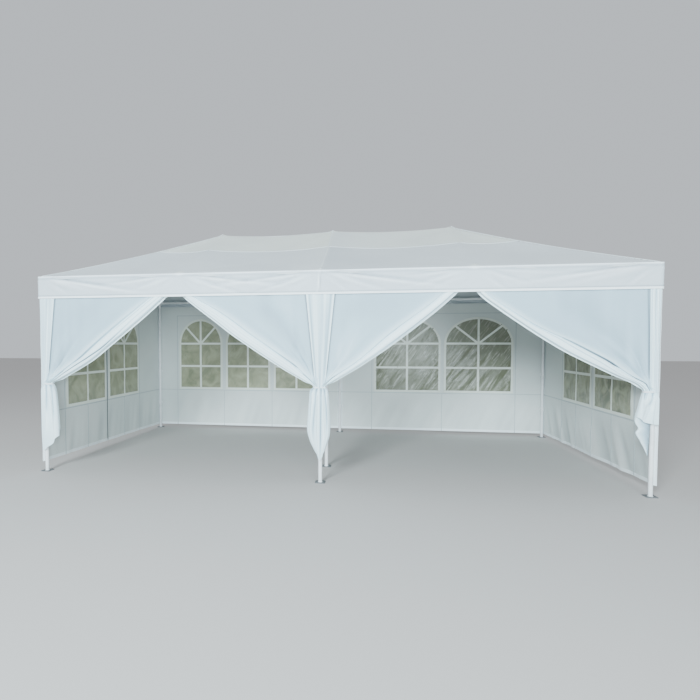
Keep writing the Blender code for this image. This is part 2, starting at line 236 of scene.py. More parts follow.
def roof_height(x, y):
    """Height of the middle of the roof cloth."""
    out, past_end = abs(y), end_out(x)
    far = max(out, past_end)
    down = min(far / leg_y, 1)
    height = ridge_z - pitch * far - RAFTER_SAG * hump(down)
    if out >= past_end:
        if abs(x) <= ridge_x:
            between = hump(abs(x) / ridge_x)
            height -= RIDGE_SAG * between * (1 - down)
        else:
            between = hump((abs(x) - ridge_x) / max(0.001, (cover_x - ridge_x) * out / cover_y))
        height -= PANEL_SAG * max(0, between) * hump(down)
    else:
        height -= PANEL_SAG * (1 - (y / past_end) ** 2) * hump(down)
    for boss_x, boss_y in ridge_bosses + eave_bosses:
        distance = math.hypot(x - boss_x, y - boss_y)
        if distance < PUCKER_REACH:
            if abs(boss_x) < leg_x:
                height += BOSS_LIFT * bell(distance, BOSS_REACH)
            turn = math.atan2(y - boss_y, x - boss_x)
            seed = boss_x * 1.7 + boss_y
            rays = wobble(3.2 * math.cos(turn), 3.2 * math.sin(turn), seed)
            fading = 1 - smooth(0.2, PUCKER_REACH, distance)
            height += PUCKER * rays * smooth(0.0, 0.12, distance) * fading
    return height + UNEVENNESS * wobble(x * 2.3, y * 2.3, 5.0)


def roof_column(index):
    """Where a column of the roof's grid stands, so that the hips run through its points."""
    if index <= HIP_COLUMNS:
        return blend(-cover_x, -ridge_x, index / HIP_COLUMNS)
    if index <= HIP_COLUMNS + MIDDLE_COLUMNS:
        return blend(-ridge_x, ridge_x, (index - HIP_COLUMNS) / MIDDLE_COLUMNS)
    return blend(ridge_x, cover_x, (index - HIP_COLUMNS - MIDDLE_COLUMNS) / HIP_COLUMNS)


roof_columns = 2 * HIP_COLUMNS + MIDDLE_COLUMNS
roof_rows = 2 * HIP_COLUMNS


def roof_place(across, along):
    column = round(across * (roof_columns + 2 * EDGE_TURNS)) - EDGE_TURNS
    row = round(along * (roof_rows + 2 * EDGE_TURNS)) - EDGE_TURNS
    turns = max(-column, column - roof_columns, -row, row - roof_rows, 0)
    x = roof_column(max(0, min(roof_columns, column)))
    y = blend(-cover_y, cover_y, max(0, min(roof_rows, row)) / roof_rows)
    height = roof_height(x, y) - EDGE_TURN_DROP * turns
    if not 0 <= column <= roof_columns:
        x += math.copysign(EDGE_TURN_OUT, x)
    if not 0 <= row <= roof_rows:
        y += math.copysign(EDGE_TURN_OUT, y)
    aside, out = abs(x) - cover_x + CORNER_ROUND, abs(y) - cover_y + CORNER_ROUND
    if aside > 0 and out > 0 and math.hypot(aside, out) > CORNER_ROUND:
        share = CORNER_ROUND / math.hypot(aside, out)
        x = math.copysign(cover_x - CORNER_ROUND + aside * share, x)
        y = math.copysign(cover_y - CORNER_ROUND + out * share, y)
    return Vector((x, y, height))


# Painted light and shade: seen from outside either long side, the cover is painted darker just
# right of the middle rafter and lighter just left of it. It has a painted highlight over the boss in
# the middle of each bay, and it is lighter where it is doubled beside the ridge, partly for the
# doubled cloth and partly as painted light.
RAFTER_SHADE = 0.30
RAFTER_SHADE_WIDTH = 0.45
RAFTER_LIGHT = 0.12
RAFTER_LIGHT_WIDTH = 0.3
BOSS_LIGHT = 0.5
DOUBLED_LIGHT = 0.4


def roof_mark(across, along):
    spot = roof_place(across, along)
    side = spot.x if spot.y < 0 else -spot.x
    shade = RAFTER_SHADE * smooth(0, 0.03, side) * math.exp(-max(0.0, side) / RAFTER_SHADE_WIDTH)
    light = RAFTER_LIGHT * smooth(0, 0.03, -side) * math.exp(-max(0.0, -side) / RAFTER_LIGHT_WIDTH)
    far = max(abs(spot.y), end_out(spot.x))
    light += DOUBLED_LIGHT * (1 - smooth(RIDGE_STRIP - 0.01, RIDGE_STRIP + 0.01, far))
    for boss_x in (-ridge_x, ridge_x):
        distance = math.hypot(spot.x - boss_x, abs(spot.y) - leg_y)
        light += BOSS_LIGHT * bell(distance, BOSS_REACH)
    return 0.5 - shade + light


def wire(material, node, wires):
    """Wires outputs to a node's sockets, by the sockets' names or numbers."""
    for name, output in wires.items():
        material.node_tree.links.new(output, node.inputs[name])


def add_node(material, kind, values, wires, **settings):
    """A shader node with its settings, the values of its sockets, and its wires."""
    node = material.node_tree.nodes.new(f"ShaderNode{kind}")
    for setting, value in settings.items():
        setattr(node, setting, value)
    for name, value in values.items():
        node.inputs[name].default_value = value
    wire(material, node, wires)
    return node


def own_place(material):
    """A point's place on its own piece, for the patterns."""
    return add_node(material, "TexCoord", {}, {}).outputs["Object"]


def clouds(material, place, scale, detail=2, distortion=0):
    values = {"Scale": scale, "Detail": detail, "Distortion": distortion}
    return add_node(material, "TexNoise", values, {"Vector": place}).outputs["Fac"]


def tones(material, share, *stops):
    """A colour for every share from 0 to 1, by stops of (share, colour)."""
    node = add_node(material, "ValToRGB", {}, {"Fac": share})
    ramp = node.color_ramp.elements
    ramp[0].position, ramp[1].position = stops[0][0], stops[-1][0]
    for position, colour in stops[1:-1]:
        ramp.new(position)
    for element, (position, colour) in zip(ramp, stops):
        element.color = colour
    return node.outputs["Color"]


def bumps(material, height, strength, distance, below=None):
    """Fine relief of a surface, on top of another if there is one below it."""
    values = {"Strength": strength, "Distance": distance}
    wires = {"Height": height, "Normal": below} if below else {"Height": height}
    return add_node(material, "Bump", values, wires).outputs["Normal"]


THREAD = 0.0026  # from one thread of the weave to the next
WAVE_PERIOD = 2 * math.pi / 20  # of a wave texture at scale 1
CLOTH_ROUGHNESS = 0.55
CLOTH_SHEEN = 0.12
CLOUD_SHADE = (0.94, 0.945, 0.955, 1)  # of the darker clouds on the cloth
UNSHADED = (1, 1, 1, 1)


def cloth_finish(name, colour, threads, doubled=None, crease=None):
    """Coated woven cloth: a fine weave along two directions, faint clouds and fine crush marks.

    threads names the two object directions of the weave. The cloth's marks choose between the
    crease colour, which is painted shade, its own colour, and the colour for doubled cloth and
    painted light.
    """
    material, shader = plain_finish(name, colour, CLOTH_ROUGHNESS)
    place = own_place(material)
    mark = add_node(material, "Attribute", {}, {}, attribute_name="doubling, painted light and shade").outputs["Fac"]
    dyed = tones(material, mark, (0, crease or colour), (0.5, colour), (1, doubled or colour))
    shades = tones(material, clouds(material, place, 2.2, 5), (0.32, CLOUD_SHADE), (0.62, UNSHADED))
    clouded = add_node(material, "Mix", {"Factor": 1}, {"A": dyed, "B": shades}, data_type="RGBA",
                       blend_type="MULTIPLY")
    weave = add_node(material, "Math", {}, {}, operation="ADD")
    for number, direction in enumerate(threads):
        thread = add_node(material, "TexWave", {"Scale": WAVE_PERIOD / THREAD}, {"Vector": place},
                          bands_direction=direction)
        wire(material, weave, {number: thread.outputs["Fac"]})
    crushed = bumps(material, clouds(material, place, 16, 6, 0.6), 0.35, 0.004)
    woven = bumps(material, weave.outputs["Value"], 0.3, 0.0003, crushed)
    wire(material, shader, {"Base Color": clouded.outputs["Result"], "Normal": woven})
    shader.inputs["Sheen Weight"].default_value = CLOTH_SHEEN
    return material


def finish(piece, material, slot, *nodes):
    """Gives a piece its material, unless it has one, hangs it on the root body and hides the solids
    that it stands in for. The slot is not used.
    """
    if not piece.data.materials:
        piece.data.materials.append(material)
    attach(piece, "root")
    if nodes:
        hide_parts(*nodes)


# The cover's own colour, then a colour for doubled cloth and painted light, and one for painted
# shade, which its marks mix.
COVER_COLOUR = (0.57, 0.615, 0.635, 1)
COVER_DOUBLED_AND_LIT = (0.67, 0.70, 0.64, 1)
COVER_SHADED = (0.44, 0.48, 0.51, 1)
roof = shaped_sheet("roof_cover", roof_columns + 2 * EDGE_TURNS, roof_rows + 2 * EDGE_TURNS,
                    roof_place, COVER_THICKNESS, roof_mark)
cover_cloth = cloth_finish("roof cover cloth", COVER_COLOUR, "XY", COVER_DOUBLED_AND_LIT, COVER_SHADED)
finish(roof, cover_cloth, "cover_cloth", "cover_front", "cover_back", "cover_left", "cover_right")

# Steel frame
# Round steel tubes, powder coated white, pushed into the sockets of the connectors. Each leg
# stands on a bare galvanized foot plate with rounded corners, and is welded to it all around.
TUBE_SIDES = 28
TUBE_RADIUS = 0.019
TUBE_ROUND = 0.001  # of a leg's cut ends
TUBE_SUNK = 0.001  # into the foot plate
FOOT_THICKNESS = 0.005
FOOT_ROUND = 0.012
FOOT_EDGE = 0.0012
WELD_OUT = 0.001
WELD_RADIUS = 0.0032
STEEL_ANGLE = 40  # degrees; flatter edges are shaded round
BEVEL_ANGLE = math.radians(60)
RUBBED_TONE = 0.86  # of the coat's colour in the rubbed places

leg_places = {"left": -leg_x, "middle": 0.0, "right": leg_x}
ridge_ends = {"left": -ridge_x, "right": ridge_x}
long_sides = {"front": -leg_y, "back": leg_y}
leg_low, leg_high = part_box("leg_front_left")
foot_side = leg_high.x - leg_low.x
leg_top = leg_high.z


def steel_finish(name, colour, roughness):
    """Coated or galvanized steel with a faint ripple and a few darker rubbed places."""
    material, shader = plain_finish(name, colour, roughness)
    place = own_place(material)
    rubbed = tuple(channel * RUBBED_TONE for channel in colour[:3]) + (1,)
    shades = tones(material, clouds(material, place, 7, 8), (0.30, rubbed), (0.48, colour))
    ripple = bumps(material, clouds(material, place, 420), 0.15, 0.0004)
    wire(material, shader, {"Base Color": shades, "Normal": ripple})
    return material


white_coat = steel_finish("white powder coat", (0.84, 0.86, 0.87, 1), 0.36)
pin_steel = steel_finish("galvanized steel", (0.15, 0.16, 0.165, 1), 0.6)


def settle(piece):
    """Puts a piece's place and turn into its mesh."""
    deselect()
    piece.select_set(True)
    bpy.context.view_layer.objects.active = piece
    bpy.ops.object.transform_apply(location=True, rotation=True, scale=True)


def tube(name, start, end, radius, rounding=0.0):
    """A closed round bar between two points, with its ends rounded over if asked."""
    start, end = Vector(start), Vector(end)
    along = end - start
    deselect()
    bpy.ops.mesh.primitive_cylinder_add(vertices=TUBE_SIDES, radius=radius, depth=along.length)
    piece = bpy.context.object
    piece.name = name
    if rounding:
        apply_modifier(piece, "BEVEL", width=rounding, segments=2, angle_limit=BEVEL_ANGLE)
    piece.location = (start + end) / 2
    piece.rotation_euler = along.to_track_quat("Z", "Y").to_euler()
    settle(piece)
    shade_round(piece, STEEL_ANGLE)
    return piece


def ring(radius, thickness, place, aim):
    """A small torus around an axis, such as a weld or a rolled lip."""
    deselect()
    bpy.ops.mesh.primitive_torus_add(major_radius=radius, minor_radius=thickness,
                                     major_segments=28, minor_segments=8, location=place)
    piece = bpy.context.object
    piece.rotation_euler = Vector(aim).to_track_quat("Z", "Y").to_euler()
    settle(piece)
    piece.data.shade_smooth()
    return piece


def foot_plate(x, y):
    """A square plate, its upright edges rounded far and all others a little."""
    deselect()
    bpy.ops.mesh.primitive_cube_add(size=1, location=(x, y, FOOT_THICKNESS / 2))
    plate = bpy.context.object
    plate.scale = (foot_side, foot_side, FOOT_THICKNESS)
    settle(plate)
    weights = plate.data.attributes.new("bevel_weight_edge", "FLOAT", "EDGE")
    for edge in plate.data.edges:
        first, last = (plate.data.vertices[number].co for number in edge.vertices)
        weights.data[edge.index].value = float(abs(first.z - last.z) > FOOT_THICKNESS / 2)
    apply_modifier(plate, "BEVEL", width=FOOT_ROUND, segments=5, limit_method="WEIGHT")
    apply_modifier(plate, "BEVEL", width=FOOT_EDGE, segments=2, angle_limit=BEVEL_ANGLE)
    shade_round(plate, STEEL_ANGLE)
    plate.data.materials.append(pin_steel)
    return plate


def join_pieces(name, pieces):
    deselect()
    for piece in pieces:
        piece.select_set(True)
    bpy.context.view_layer.objects.active = pieces[0]
    bpy.ops.object.join()
    pieces[0].name = name
    return pieces[0]


def leg_pieces(x, y, top):
    """A leg, the weld around it and its foot plate."""
    sunk = FOOT_THICKNESS - TUBE_SUNK
    upright = tube("tube", (x, y, sunk), (x, y, top), TUBE_RADIUS, TUBE_ROUND)
    weld = ring(TUBE_RADIUS + WELD_OUT, WELD_RADIUS, (x, y, FOOT_THICKNESS), (0, 0, 1))
    upright.data.materials.append(white_coat)
    weld.data.materials.append(white_coat)
    return [upright, weld, foot_plate(x, y)]


foot_places = []
for side, y in long_sides.items():
    for place, x in leg_places.items():
        foot_places.append((x, y))
        leg = join_pieces(f"leg_tube_{side}_{place}", leg_pieces(x, y, leg_top))
        finish(leg, white_coat, "white_steel", f"leg_{side}_{place}")

# Prop post
# One more tube stands on a foot plate just behind the front middle leg, under the middle front
# rafter. Its top is cut round, so that the rafter lies in it.
POST_PAST_AXIS = 0.004  # how far the top goes past the rafter's axis
NOTCH_REACH = 0.08
NOTCH_PLAY = 0.0004

prop_low, prop_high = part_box("prop_post")
prop_y = (prop_low.y + prop_high.y) / 2
rafter_low, rafter_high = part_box("middle_rafter_front")
rafter_rise = (rafter_high.z - rafter_low.z) / (rafter_high.y - rafter_low.y)
rafter_middle = (rafter_low + rafter_high) / 2
rafter_over_post = Vector((0, prop_y, rafter_middle.z + (prop_y - rafter_middle.y) * rafter_rise))
foot_places.append((0.0, prop_y))
post_pieces = leg_pieces(0.0, prop_y, rafter_over_post.z + POST_PAST_AXIS)
reach = Vector((0, 1, rafter_rise)).normalized() * NOTCH_REACH
cutter = tube("cutter", rafter_over_post - reach, rafter_over_post + reach, TUBE_RADIUS + NOTCH_PLAY)


def cut_away(piece, cutter):
    """Cuts one mesh out of another and removes it."""
    apply_modifier(piece, "BOOLEAN", operation="DIFFERENCE", object=cutter, solver="EXACT")
    bpy.data.objects.remove(cutter, do_unlink=True)


deselect()
cut_away(post_pieces[0], cutter)
post_pieces[0].data.set_sharp_from_angle(angle=math.radians(STEEL_ANGLE))
finish(join_pieces("prop_post_tube", post_pieces), white_coat, "white_steel", "prop_post")

# Ground pins
# Two steel pins with flat round heads go through each foot plate into the ground, at opposite
# corners of it.
PIN_OUT = 0.034  # from the leg's axis to each pin, both ways
PIN_HEAD = 0.010
PIN_HEAD_HEIGHT = 0.004
PIN_HEAD_ROUND = 0.0015
PIN_RADIUS = 0.0045
PIN_STUB = 0.003  # how far the pin itself stands over its head
PIN_ROUND = 0.001

pins = []
head = FOOT_THICKNESS + PIN_HEAD_HEIGHT
for foot_x, foot_y in foot_places:
    for turn in (-1, 1):
        x, y = foot_x + turn * PIN_OUT, foot_y + turn * PIN_OUT
        pins.append(tube("pin", (x, y, FOOT_THICKNESS), (x, y, head), PIN_HEAD, PIN_HEAD_ROUND))
        pins.append(tube("pin", (x, y, head), (x, y, head + PIN_STUB), PIN_RADIUS, PIN_ROUND))
finish(join_pieces("ground_pins", pins), pin_steel, "white_steel")

# Tubes and connectors under the cover
# Rails, rafters and ridge tubes run from socket to socket. A connector is sockets around a hub,
# with a round boss on top that carries the cover.
HUB_RADIUS = 0.027
SOCKET_RADIUS = 0.023
SOCKET_LIP = 0.0012  # how far a socket's rolled mouth stands out
LIP_SET = 0.0006
SLEEVE_RADIUS = 0.0215
SLEEVE_REACH = 0.06
MOUTH_ROUND = 0.0008
TUBE_GAP = 0.0003  # between a tube's end and its socket's mouth

rail_low, rail_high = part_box("rail_left")
rail_axis_z = (rail_low.z + rail_high.z) / 2
ridge_low, ridge_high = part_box("ridge_tube_left")
ridge_axis_z = (ridge_low.z + ridge_high.z) / 2
socket_reach = leg_y - rail_high.y
boss_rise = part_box("connector_back_right")[1].z - rail_axis_z - SOCKET_RADIUS


def eave_joint(x, y):
    return Vector((x, y, rail_axis_z))


def ridge_joint(x):
    return Vector((x, 0, ridge_axis_z))


def on_way(start, end, distance):
    return start + (end - start).normalized() * distance


def ball(place, radius):
    deselect()
    bpy.ops.mesh.primitive_uv_sphere_add(segments=28, ring_count=16, radius=radius, location=place)
    piece = bpy.context.object
    settle(piece)
    piece.data.shade_smooth()
    return piece


def hub(joint, aims):
    """A round hub with its boss, and a socket towards each aim."""
    pieces = [ball(joint, HUB_RADIUS), ball(joint + Vector((0, 0, boss_rise)), SOCKET_RADIUS)]
    for aim in aims:
        mouth = on_way(joint, aim, socket_reach)
        pieces.append(tube("socket", joint, mouth, SOCKET_RADIUS, MOUTH_ROUND))
        pieces.append(ring(SOCKET_RADIUS - LIP_SET, SOCKET_LIP, mouth, aim - joint))
    return pieces


def connector(name, joint, aims):
    finish(join_pieces(f"{name}_hub", hub(joint, aims)), white_coat, "white_steel", name)


def frame_tube(name, start, end, extra=()):
    inset = socket_reach + TUBE_GAP
    ends = on_way(start, end, inset), on_way(end, start, inset)
    bar = tube("bar", *ends, TUBE_RADIUS, MOUTH_ROUND)
    finish(join_pieces(f"{name}_tube", [bar, *extra]), white_coat, "white_steel", name)


for side, y in long_sides.items():
    for place, x in leg_places.items():
        aims = [Vector((x, y, 0)), ridge_joint(max(-ridge_x, min(ridge_x, x)))]
        next_legs = [other for other in leg_places.values() if 0 < abs(other - x) < 1.5 * leg_x]
        aims += [eave_joint(other, y) for other in next_legs]
        aims += [eave_joint(x, -y)] if x else []
        connector(f"connector_{side}_{place}", eave_joint(x, y), aims)
    for place, x in ridge_ends.items():
        corner, middle = eave_joint(leg_places[place], y), eave_joint(x, y)
        half = Vector((SLEEVE_REACH, 0, 0))
        sleeve = tube("sleeve", middle - half, middle + half, SLEEVE_RADIUS, MOUTH_ROUND)
        extra = [sleeve, *hub(middle, [ridge_joint(x)])]
        frame_tube(f"rail_{side}_{place}", corner, eave_joint(0, y), extra)
        frame_tube(f"bay_rafter_{side}_{place}", middle, ridge_joint(x))
        frame_tube(f"hip_rafter_{side}_{place}", corner, ridge_joint(x))
    frame_tube(f"middle_rafter_{side}", eave_joint(0, y), ridge_joint(0))
for place, x in ridge_ends.items():
    corners = [eave_joint(leg_places[place], y) for y in (-leg_y, leg_y)]
    frame_tube(f"rail_{place}", *corners)
    frame_tube(f"ridge_tube_{place}", ridge_joint(0), ridge_joint(x))
    aims = [eave_joint(x, -leg_y), eave_joint(x, leg_y), ridge_joint(0), *corners]
    connector(f"ridge_connector_{place}", ridge_joint(x), aims)
aims = [eave_joint(0, -leg_y), eave_joint(0, leg_y), ridge_joint(-ridge_x), ridge_joint(ridge_x)]
connector("ridge_connector_middle", ridge_joint(0), aims)

# Roof seams
# The panels are joined by flat stitched seams: over the hips, over the middle rafters, and along
# both sides of the ridge, where the cloth is doubled. Each seam is a narrow welt of folded cloth.
SEAM_WIDTH = 0.018
SEAM_THICKNESS = 0.0040
SEAM_LIFT = 0.0020  # of its middle above the middle of the cloth
SEAM_STEPS = 70
HIP_SEAM_SHARE = 0.985  # the seams over the hips stop this share of the way to the corners


def roof_seam(start, end):
    """A welt along a straight line in plan, from start to end."""
    start, end = Vector(start), Vector(end)
    aside = Vector((end.y - start.y, start.x - end.x)).normalized() * SEAM_WIDTH

    def place(across, along):
        spot = start.lerp(end, along) + aside * (across - 0.5)
        return Vector((spot.x, spot.y, roof_height(spot.x, spot.y) + SEAM_LIFT))

    return shaped_sheet("seam", 2, SEAM_STEPS, place, SEAM_THICKNESS)


seams = []
strip_x = blend(ridge_x, cover_x, RIDGE_STRIP / cover_y)
hip_x = blend(ridge_x, cover_x, HIP_SEAM_SHARE)
for side in (-1, 1):
    seams.append(roof_seam((-strip_x, side * RIDGE_STRIP), (strip_x, side * RIDGE_STRIP)))
    seams.append(roof_seam((0, 0), (0, side * cover_y)))
    seams.append(roof_seam((side * strip_x, -RIDGE_STRIP), (side * strip_x, RIDGE_STRIP)))
    for end in (-1, 1):
        hip_end = (end * hip_x, side * cover_y * HIP_SEAM_SHARE)
        seams.append(roof_seam((end * ridge_x, 0), hip_end))
seam_cloth = cloth_finish("roof seam cloth", (0.65, 0.69, 0.69, 1), "XY")
finish(join_pieces("roof_seams", seams), seam_cloth, "cover_cloth")

# Valance
# A straight strip of the same cloth, doubled, sewn all around under the turned edge of the roof
# cover. Fine creases fan out from the bosses that carry it, and a shallow swag hangs between them.
VALANCE_THICKNESS = 0.0025
VALANCE_LIFT = 0.004  # it laps this far up over the turned edge
VALANCE_COLUMNS = 1200
VALANCE_ROWS = 20
SWAG_DROP = 0.10  # how far the first swag droops in the middle of a bay
SWAG_LEAST = 0.012  # and at its ends
SWAG_DEPTH = 0.006
SWAG_FOLDS = (0.7, 1.5, 2.9)  # of the drop, where the folds of a swag lie
CREASE_HALF = 0.017  # half the width of a crease
# The creases that fan out from a boss: degrees down from level, length and height.
FAN_CREASES = [(7, 1.3, 0.012), (17, 0.9, 0.008), (34, 0.5, 0.005)]
FAN_REACH = 1.3
KNOB_REACH = 0.032  # of the small bulge over the boss in the middle of each bay
KNOB_RISE = 0.007
JOIN_HALF = 0.007  # half the width of the pressed seam that runs on down from the roof's middle
JOIN_RISE = 0.002
JOIN_START = 0.004  # how far the seam is from the middle at the top
JOIN_LEAN = 0.022  # and how much further at the foot
WAVE_DEPTH = 0.006  # of the slow waves along the foot
CRUMPLE = 0.002

valance_low, valance_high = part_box("valance_front")
valance_top = valance_high.z + VALANCE_LIFT
valance_drop = valance_top - valance_low.z
valance_x = cover_x + EDGE_TURN_OUT + COVER_THICKNESS
valance_y = cover_y + EDGE_TURN_OUT + COVER_THICKNESS
long_side = 2 * (valance_x - CORNER_ROUND)
short_side = 2 * (valance_y - CORNER_ROUND)
quarter_turn = math.pi / 2 * CORNER_ROUND
valance_length = 2 * (long_side + short_side) + 4 * quarter_turn

# The four sides in turn, from the front left corner: length, which way along, which way out, start.
valance_sides = [
    (long_side, Vector((1, 0)), Vector((0, -1)), Vector((CORNER_ROUND - valance_x, -valance_y))),
    (short_side, Vector((0, 1)), Vector((1, 0)), Vector((valance_x, CORNER_ROUND - valance_y))),
    (long_side, Vector((-1, 0)), Vector((0, 1)), Vector((valance_x - CORNER_ROUND, valance_y))),
    (short_side, Vector((0, -1)), Vector((-1, 0)), Vector((-valance_x, valance_y - CORNER_ROUND))),
]


def around(distance):
    """A point at a distance along the valance, from the front left corner, and which way is out."""
    distance %= valance_length
    for length, along, out, start in valance_sides:
        if distance <= length:
            return start + along * distance, out
        distance -= length
        if distance <= quarter_turn:
            angle = distance / CORNER_ROUND
            middle = start + along * length - out * CORNER_ROUND
            turned = out * math.cos(angle) + along * math.sin(angle)
            return middle + turned * CORNER_ROUND, turned
        distance -= quarter_turn
    return valance_sides[0][3], valance_sides[0][2]


def at_end(out):
    """Whether a point is on one of the two short sides."""
    return abs(out.x) > 0.5


def carried(spot, out):
    """Where the bosses are that carry a side, and where a point is between them."""
    if at_end(out):
        return [-leg_y, leg_y], spot.y
    return [-leg_x, -ridge_x, 0, ridge_x, leg_x], spot.x


def swag(spot, out, below):
    """How far the valance stands out where cloth droops between two bosses."""
    bosses, at = carried(spot, out)
    at = max(bosses[0] + 0.001, min(bosses[-1] - 0.001, at))
    for first, last in zip(bosses, bosses[1:]):
        if first <= at <= last:
            share = (at - first) / (last - first)
            break
    drape = below / (hump(share) * SWAG_DROP + SWAG_LEAST)
    seed = first * 3.1 + spot.y
    folds = 0.0
    for number, centre in enumerate(SWAG_FOLDS):
        centre *= 1 + 0.25 * wobble(seed, number * 4.3, 1.5)
        folds += (1 - 0.25 * number) * bell(drape - centre, 0.24 + 0.14 * number)
    return SWAG_DEPTH * folds * smooth(0.0, 0.05, share) * smooth(0.0, 0.05, 1 - share)


def fan(at, below, seed):
    """How far the valance stands out where creases fan out from a boss on one side of it."""
    away = math.hypot(at, below)
    stands = 0.0
    for number, (degrees, length, height) in enumerate(FAN_CREASES):
        vary = wobble(seed, number * 2.7, 0.5)
        turn = math.radians(degrees * (1 + 0.5 * vary))
        aside = below * math.cos(turn) - abs(at) * math.sin(turn)
        reach = length * (1 + 0.6 * wobble(number * 1.9, seed, 4.5))
        line = bell(aside - CREASE_HALF, 1.4 * CREASE_HALF)
        line -= bell(aside + 0.6 * CREASE_HALF, 0.8 * CREASE_HALF)
        stands += height * (1 + vary) * line * (1 - smooth(0.35 * reach, reach, away))
    return stands * smooth(0.02, 0.30, away)


def fans(spot, out, below):
    bosses, at = carried(spot, out)
    stands = 0.0
    for boss in bosses:
        if abs(at - boss) < FAN_REACH:
            seed = boss * 2.3 + (1.1 if at > boss else 5.7) + out.y * 3.1 + out.x
            stands += fan(at - boss, below, seed)
    return stands


def middle_join(spot, out, below):
    """The seam in the middle of a long side: above 0 on its ridge and below 0 beside it."""
    if at_end(out):
        return 0.0
    aside = spot.x * -out.y + JOIN_START + JOIN_LEAN * below / valance_drop
    return bell(aside, JOIN_HALF) - 0.8 * bell(aside - 2 * JOIN_HALF, JOIN_HALF)


def knob(spot, out, below):
    """The bulge at the valance's upper edge over the boss in the middle of a bay, from 0 to 1."""
    if at_end(out):
        return 0.0
    return bell(math.hypot(abs(spot.x) - ridge_x, below * 1.4), KNOB_REACH)


def valance_place(along, up):
    below = (1 - up) * valance_drop
    spot, out = around(along * valance_length)
    wave = wobble(spot.x * 1.4, spot.y * 1.4, 3.0)
    crumple = wobble(spot.x * 9, spot.y * 9, below * 5)
    spread = swag(spot, out, below) * smooth(0, 0.03, below) * (1 - 0.6 * smooth(0.6, 1.0, 1 - up))
    spread += fans(spot, out, below) * (1 - 0.8 * smooth(0.75, 1.0, 1 - up))
    spread += WAVE_DEPTH * smooth(0, 0.1, below) * wave
    spread += CRUMPLE * smooth(0, 0.05, below) * crumple
    spread += JOIN_RISE * middle_join(spot, out, below) * smooth(0, 0.02, below)
    spread += KNOB_RISE * knob(spot, out, below)
    spot = spot + out * spread
    return Vector((spot.x, spot.y, valance_top - below))


# How much painted light and shade the cloth gets: on and beside its creases for every metre that
# they stand out, on the seam and the knob, as a painted highlight on the turned edge, as painted
# shade just under that, and as painted shade just over the binding.
FAN_LIGHT = 23
JOIN_LIGHT = 0.45
KNOB_LIGHT = 0.5
EDGE_LIGHT = 0.6
EDGE_SHADE = 0.25
BINDING_SHADE = 0.40
BINDING_HEIGHT = 0.020
BINDING_LAP = 0.002  # below the valance's foot
BINDING_THICKNESS = 0.0065


def valance_mark(along, up):
    below = (1 - up) * valance_drop
    spot, out = around(along * valance_length)
    light = FAN_LIGHT * fans(spot, out, below) + JOIN_LIGHT * middle_join(spot, out, below)
    light += EDGE_LIGHT * bell(below, 0.010) - EDGE_SHADE * bell(below - 0.026, 0.009)
    light -= BINDING_SHADE * bell(below - valance_drop + BINDING_HEIGHT + 0.004, 0.006)
    return 0.5 + light + KNOB_LIGHT * knob(spot, out, below)


def binding_place(along, up):
    return valance_place(along, (up * BINDING_HEIGHT - BINDING_LAP) / valance_drop)


VALANCE_COLOUR = (0.57, 0.635, 0.68, 1)
VALANCE_LIT = (0.88, 0.94, 0.97, 1)
VALANCE_SHADED = (0.30, 0.35, 0.39, 1)
valance = shaped_sheet("valance", VALANCE_COLUMNS, VALANCE_ROWS, valance_place,
                       VALANCE_THICKNESS, valance_mark)
binding = shaped_sheet("valance_binding", VALANCE_COLUMNS, 2, binding_place, BINDING_THICKNESS)
valance_cloth = cloth_finish("valance cloth", VALANCE_COLOUR, "XZ", VALANCE_LIT, VALANCE_SHADED)
tape_cloth = cloth_finish("hem tape", (0.90, 0.96, 0.975, 1), "XZ")
finish(valance, valance_cloth, "cover_cloth", "valance_front", "valance_back", "valance_left",
       "valance_right")
finish(binding, tape_cloth, "cover_cloth")

# Walls
# Four flat walls of the coated cloth, tied under the eave rails and to the legs, with their foot
# just off the ground. Arched windows are cut through, and each wall is hemmed along its foot and
# ends.
WALL_THICKNESS = 0.002
WALL_CELL = 0.035
WINDOW_EDGES = 72  # points around a window
WINDOW_SPRING = 1.375  # height at which the arches start
ARCH_SHARE = 0.5  # shares of the points around a window that are on its arch,
SIDE_SHARE = 0.15  # on each upright side
SILL_SHARE = 0.2  # and on its sill
CUTTER_HALF = 0.1
CLEAR_LAP = 0.03  # the clear sheet goes this far past the windows
FOLD_DEPTH = 0.017  # of the soft folds under the windows
FOLD_TONE = 0.55  # how much painted light and shade they get
BILLOW = 0.008
LEAST_STAND = 0.002
SIDE_SET_BACK = 0.012  # the side walls end this far behind the axes of the front legs
FOOT_RISE = 0.05  # how much higher a side wall's foot is at its front end

# How many windows each wall has, how far apart, how deep its film is creased, and how strong the
# folds under the windows are and how far they slant.
wall_sizes = {
    "back_left": {"count": 3, "gap": 0.09, "film": 0.0030, "strength": 0.35, "slant": 0.6},
    "back_right": {"count": 2, "gap": 0.08, "film": 0.0085, "strength": 0.4, "slant": 0.9},
    "left": {"count": 2, "gap": 0.10, "film": 0.0028, "strength": 0.6, "slant": 0.3},
    "right": {"count": 2, "gap": 0.10, "film": 0.0034, "strength": 0.9, "slant": 1.0},
}


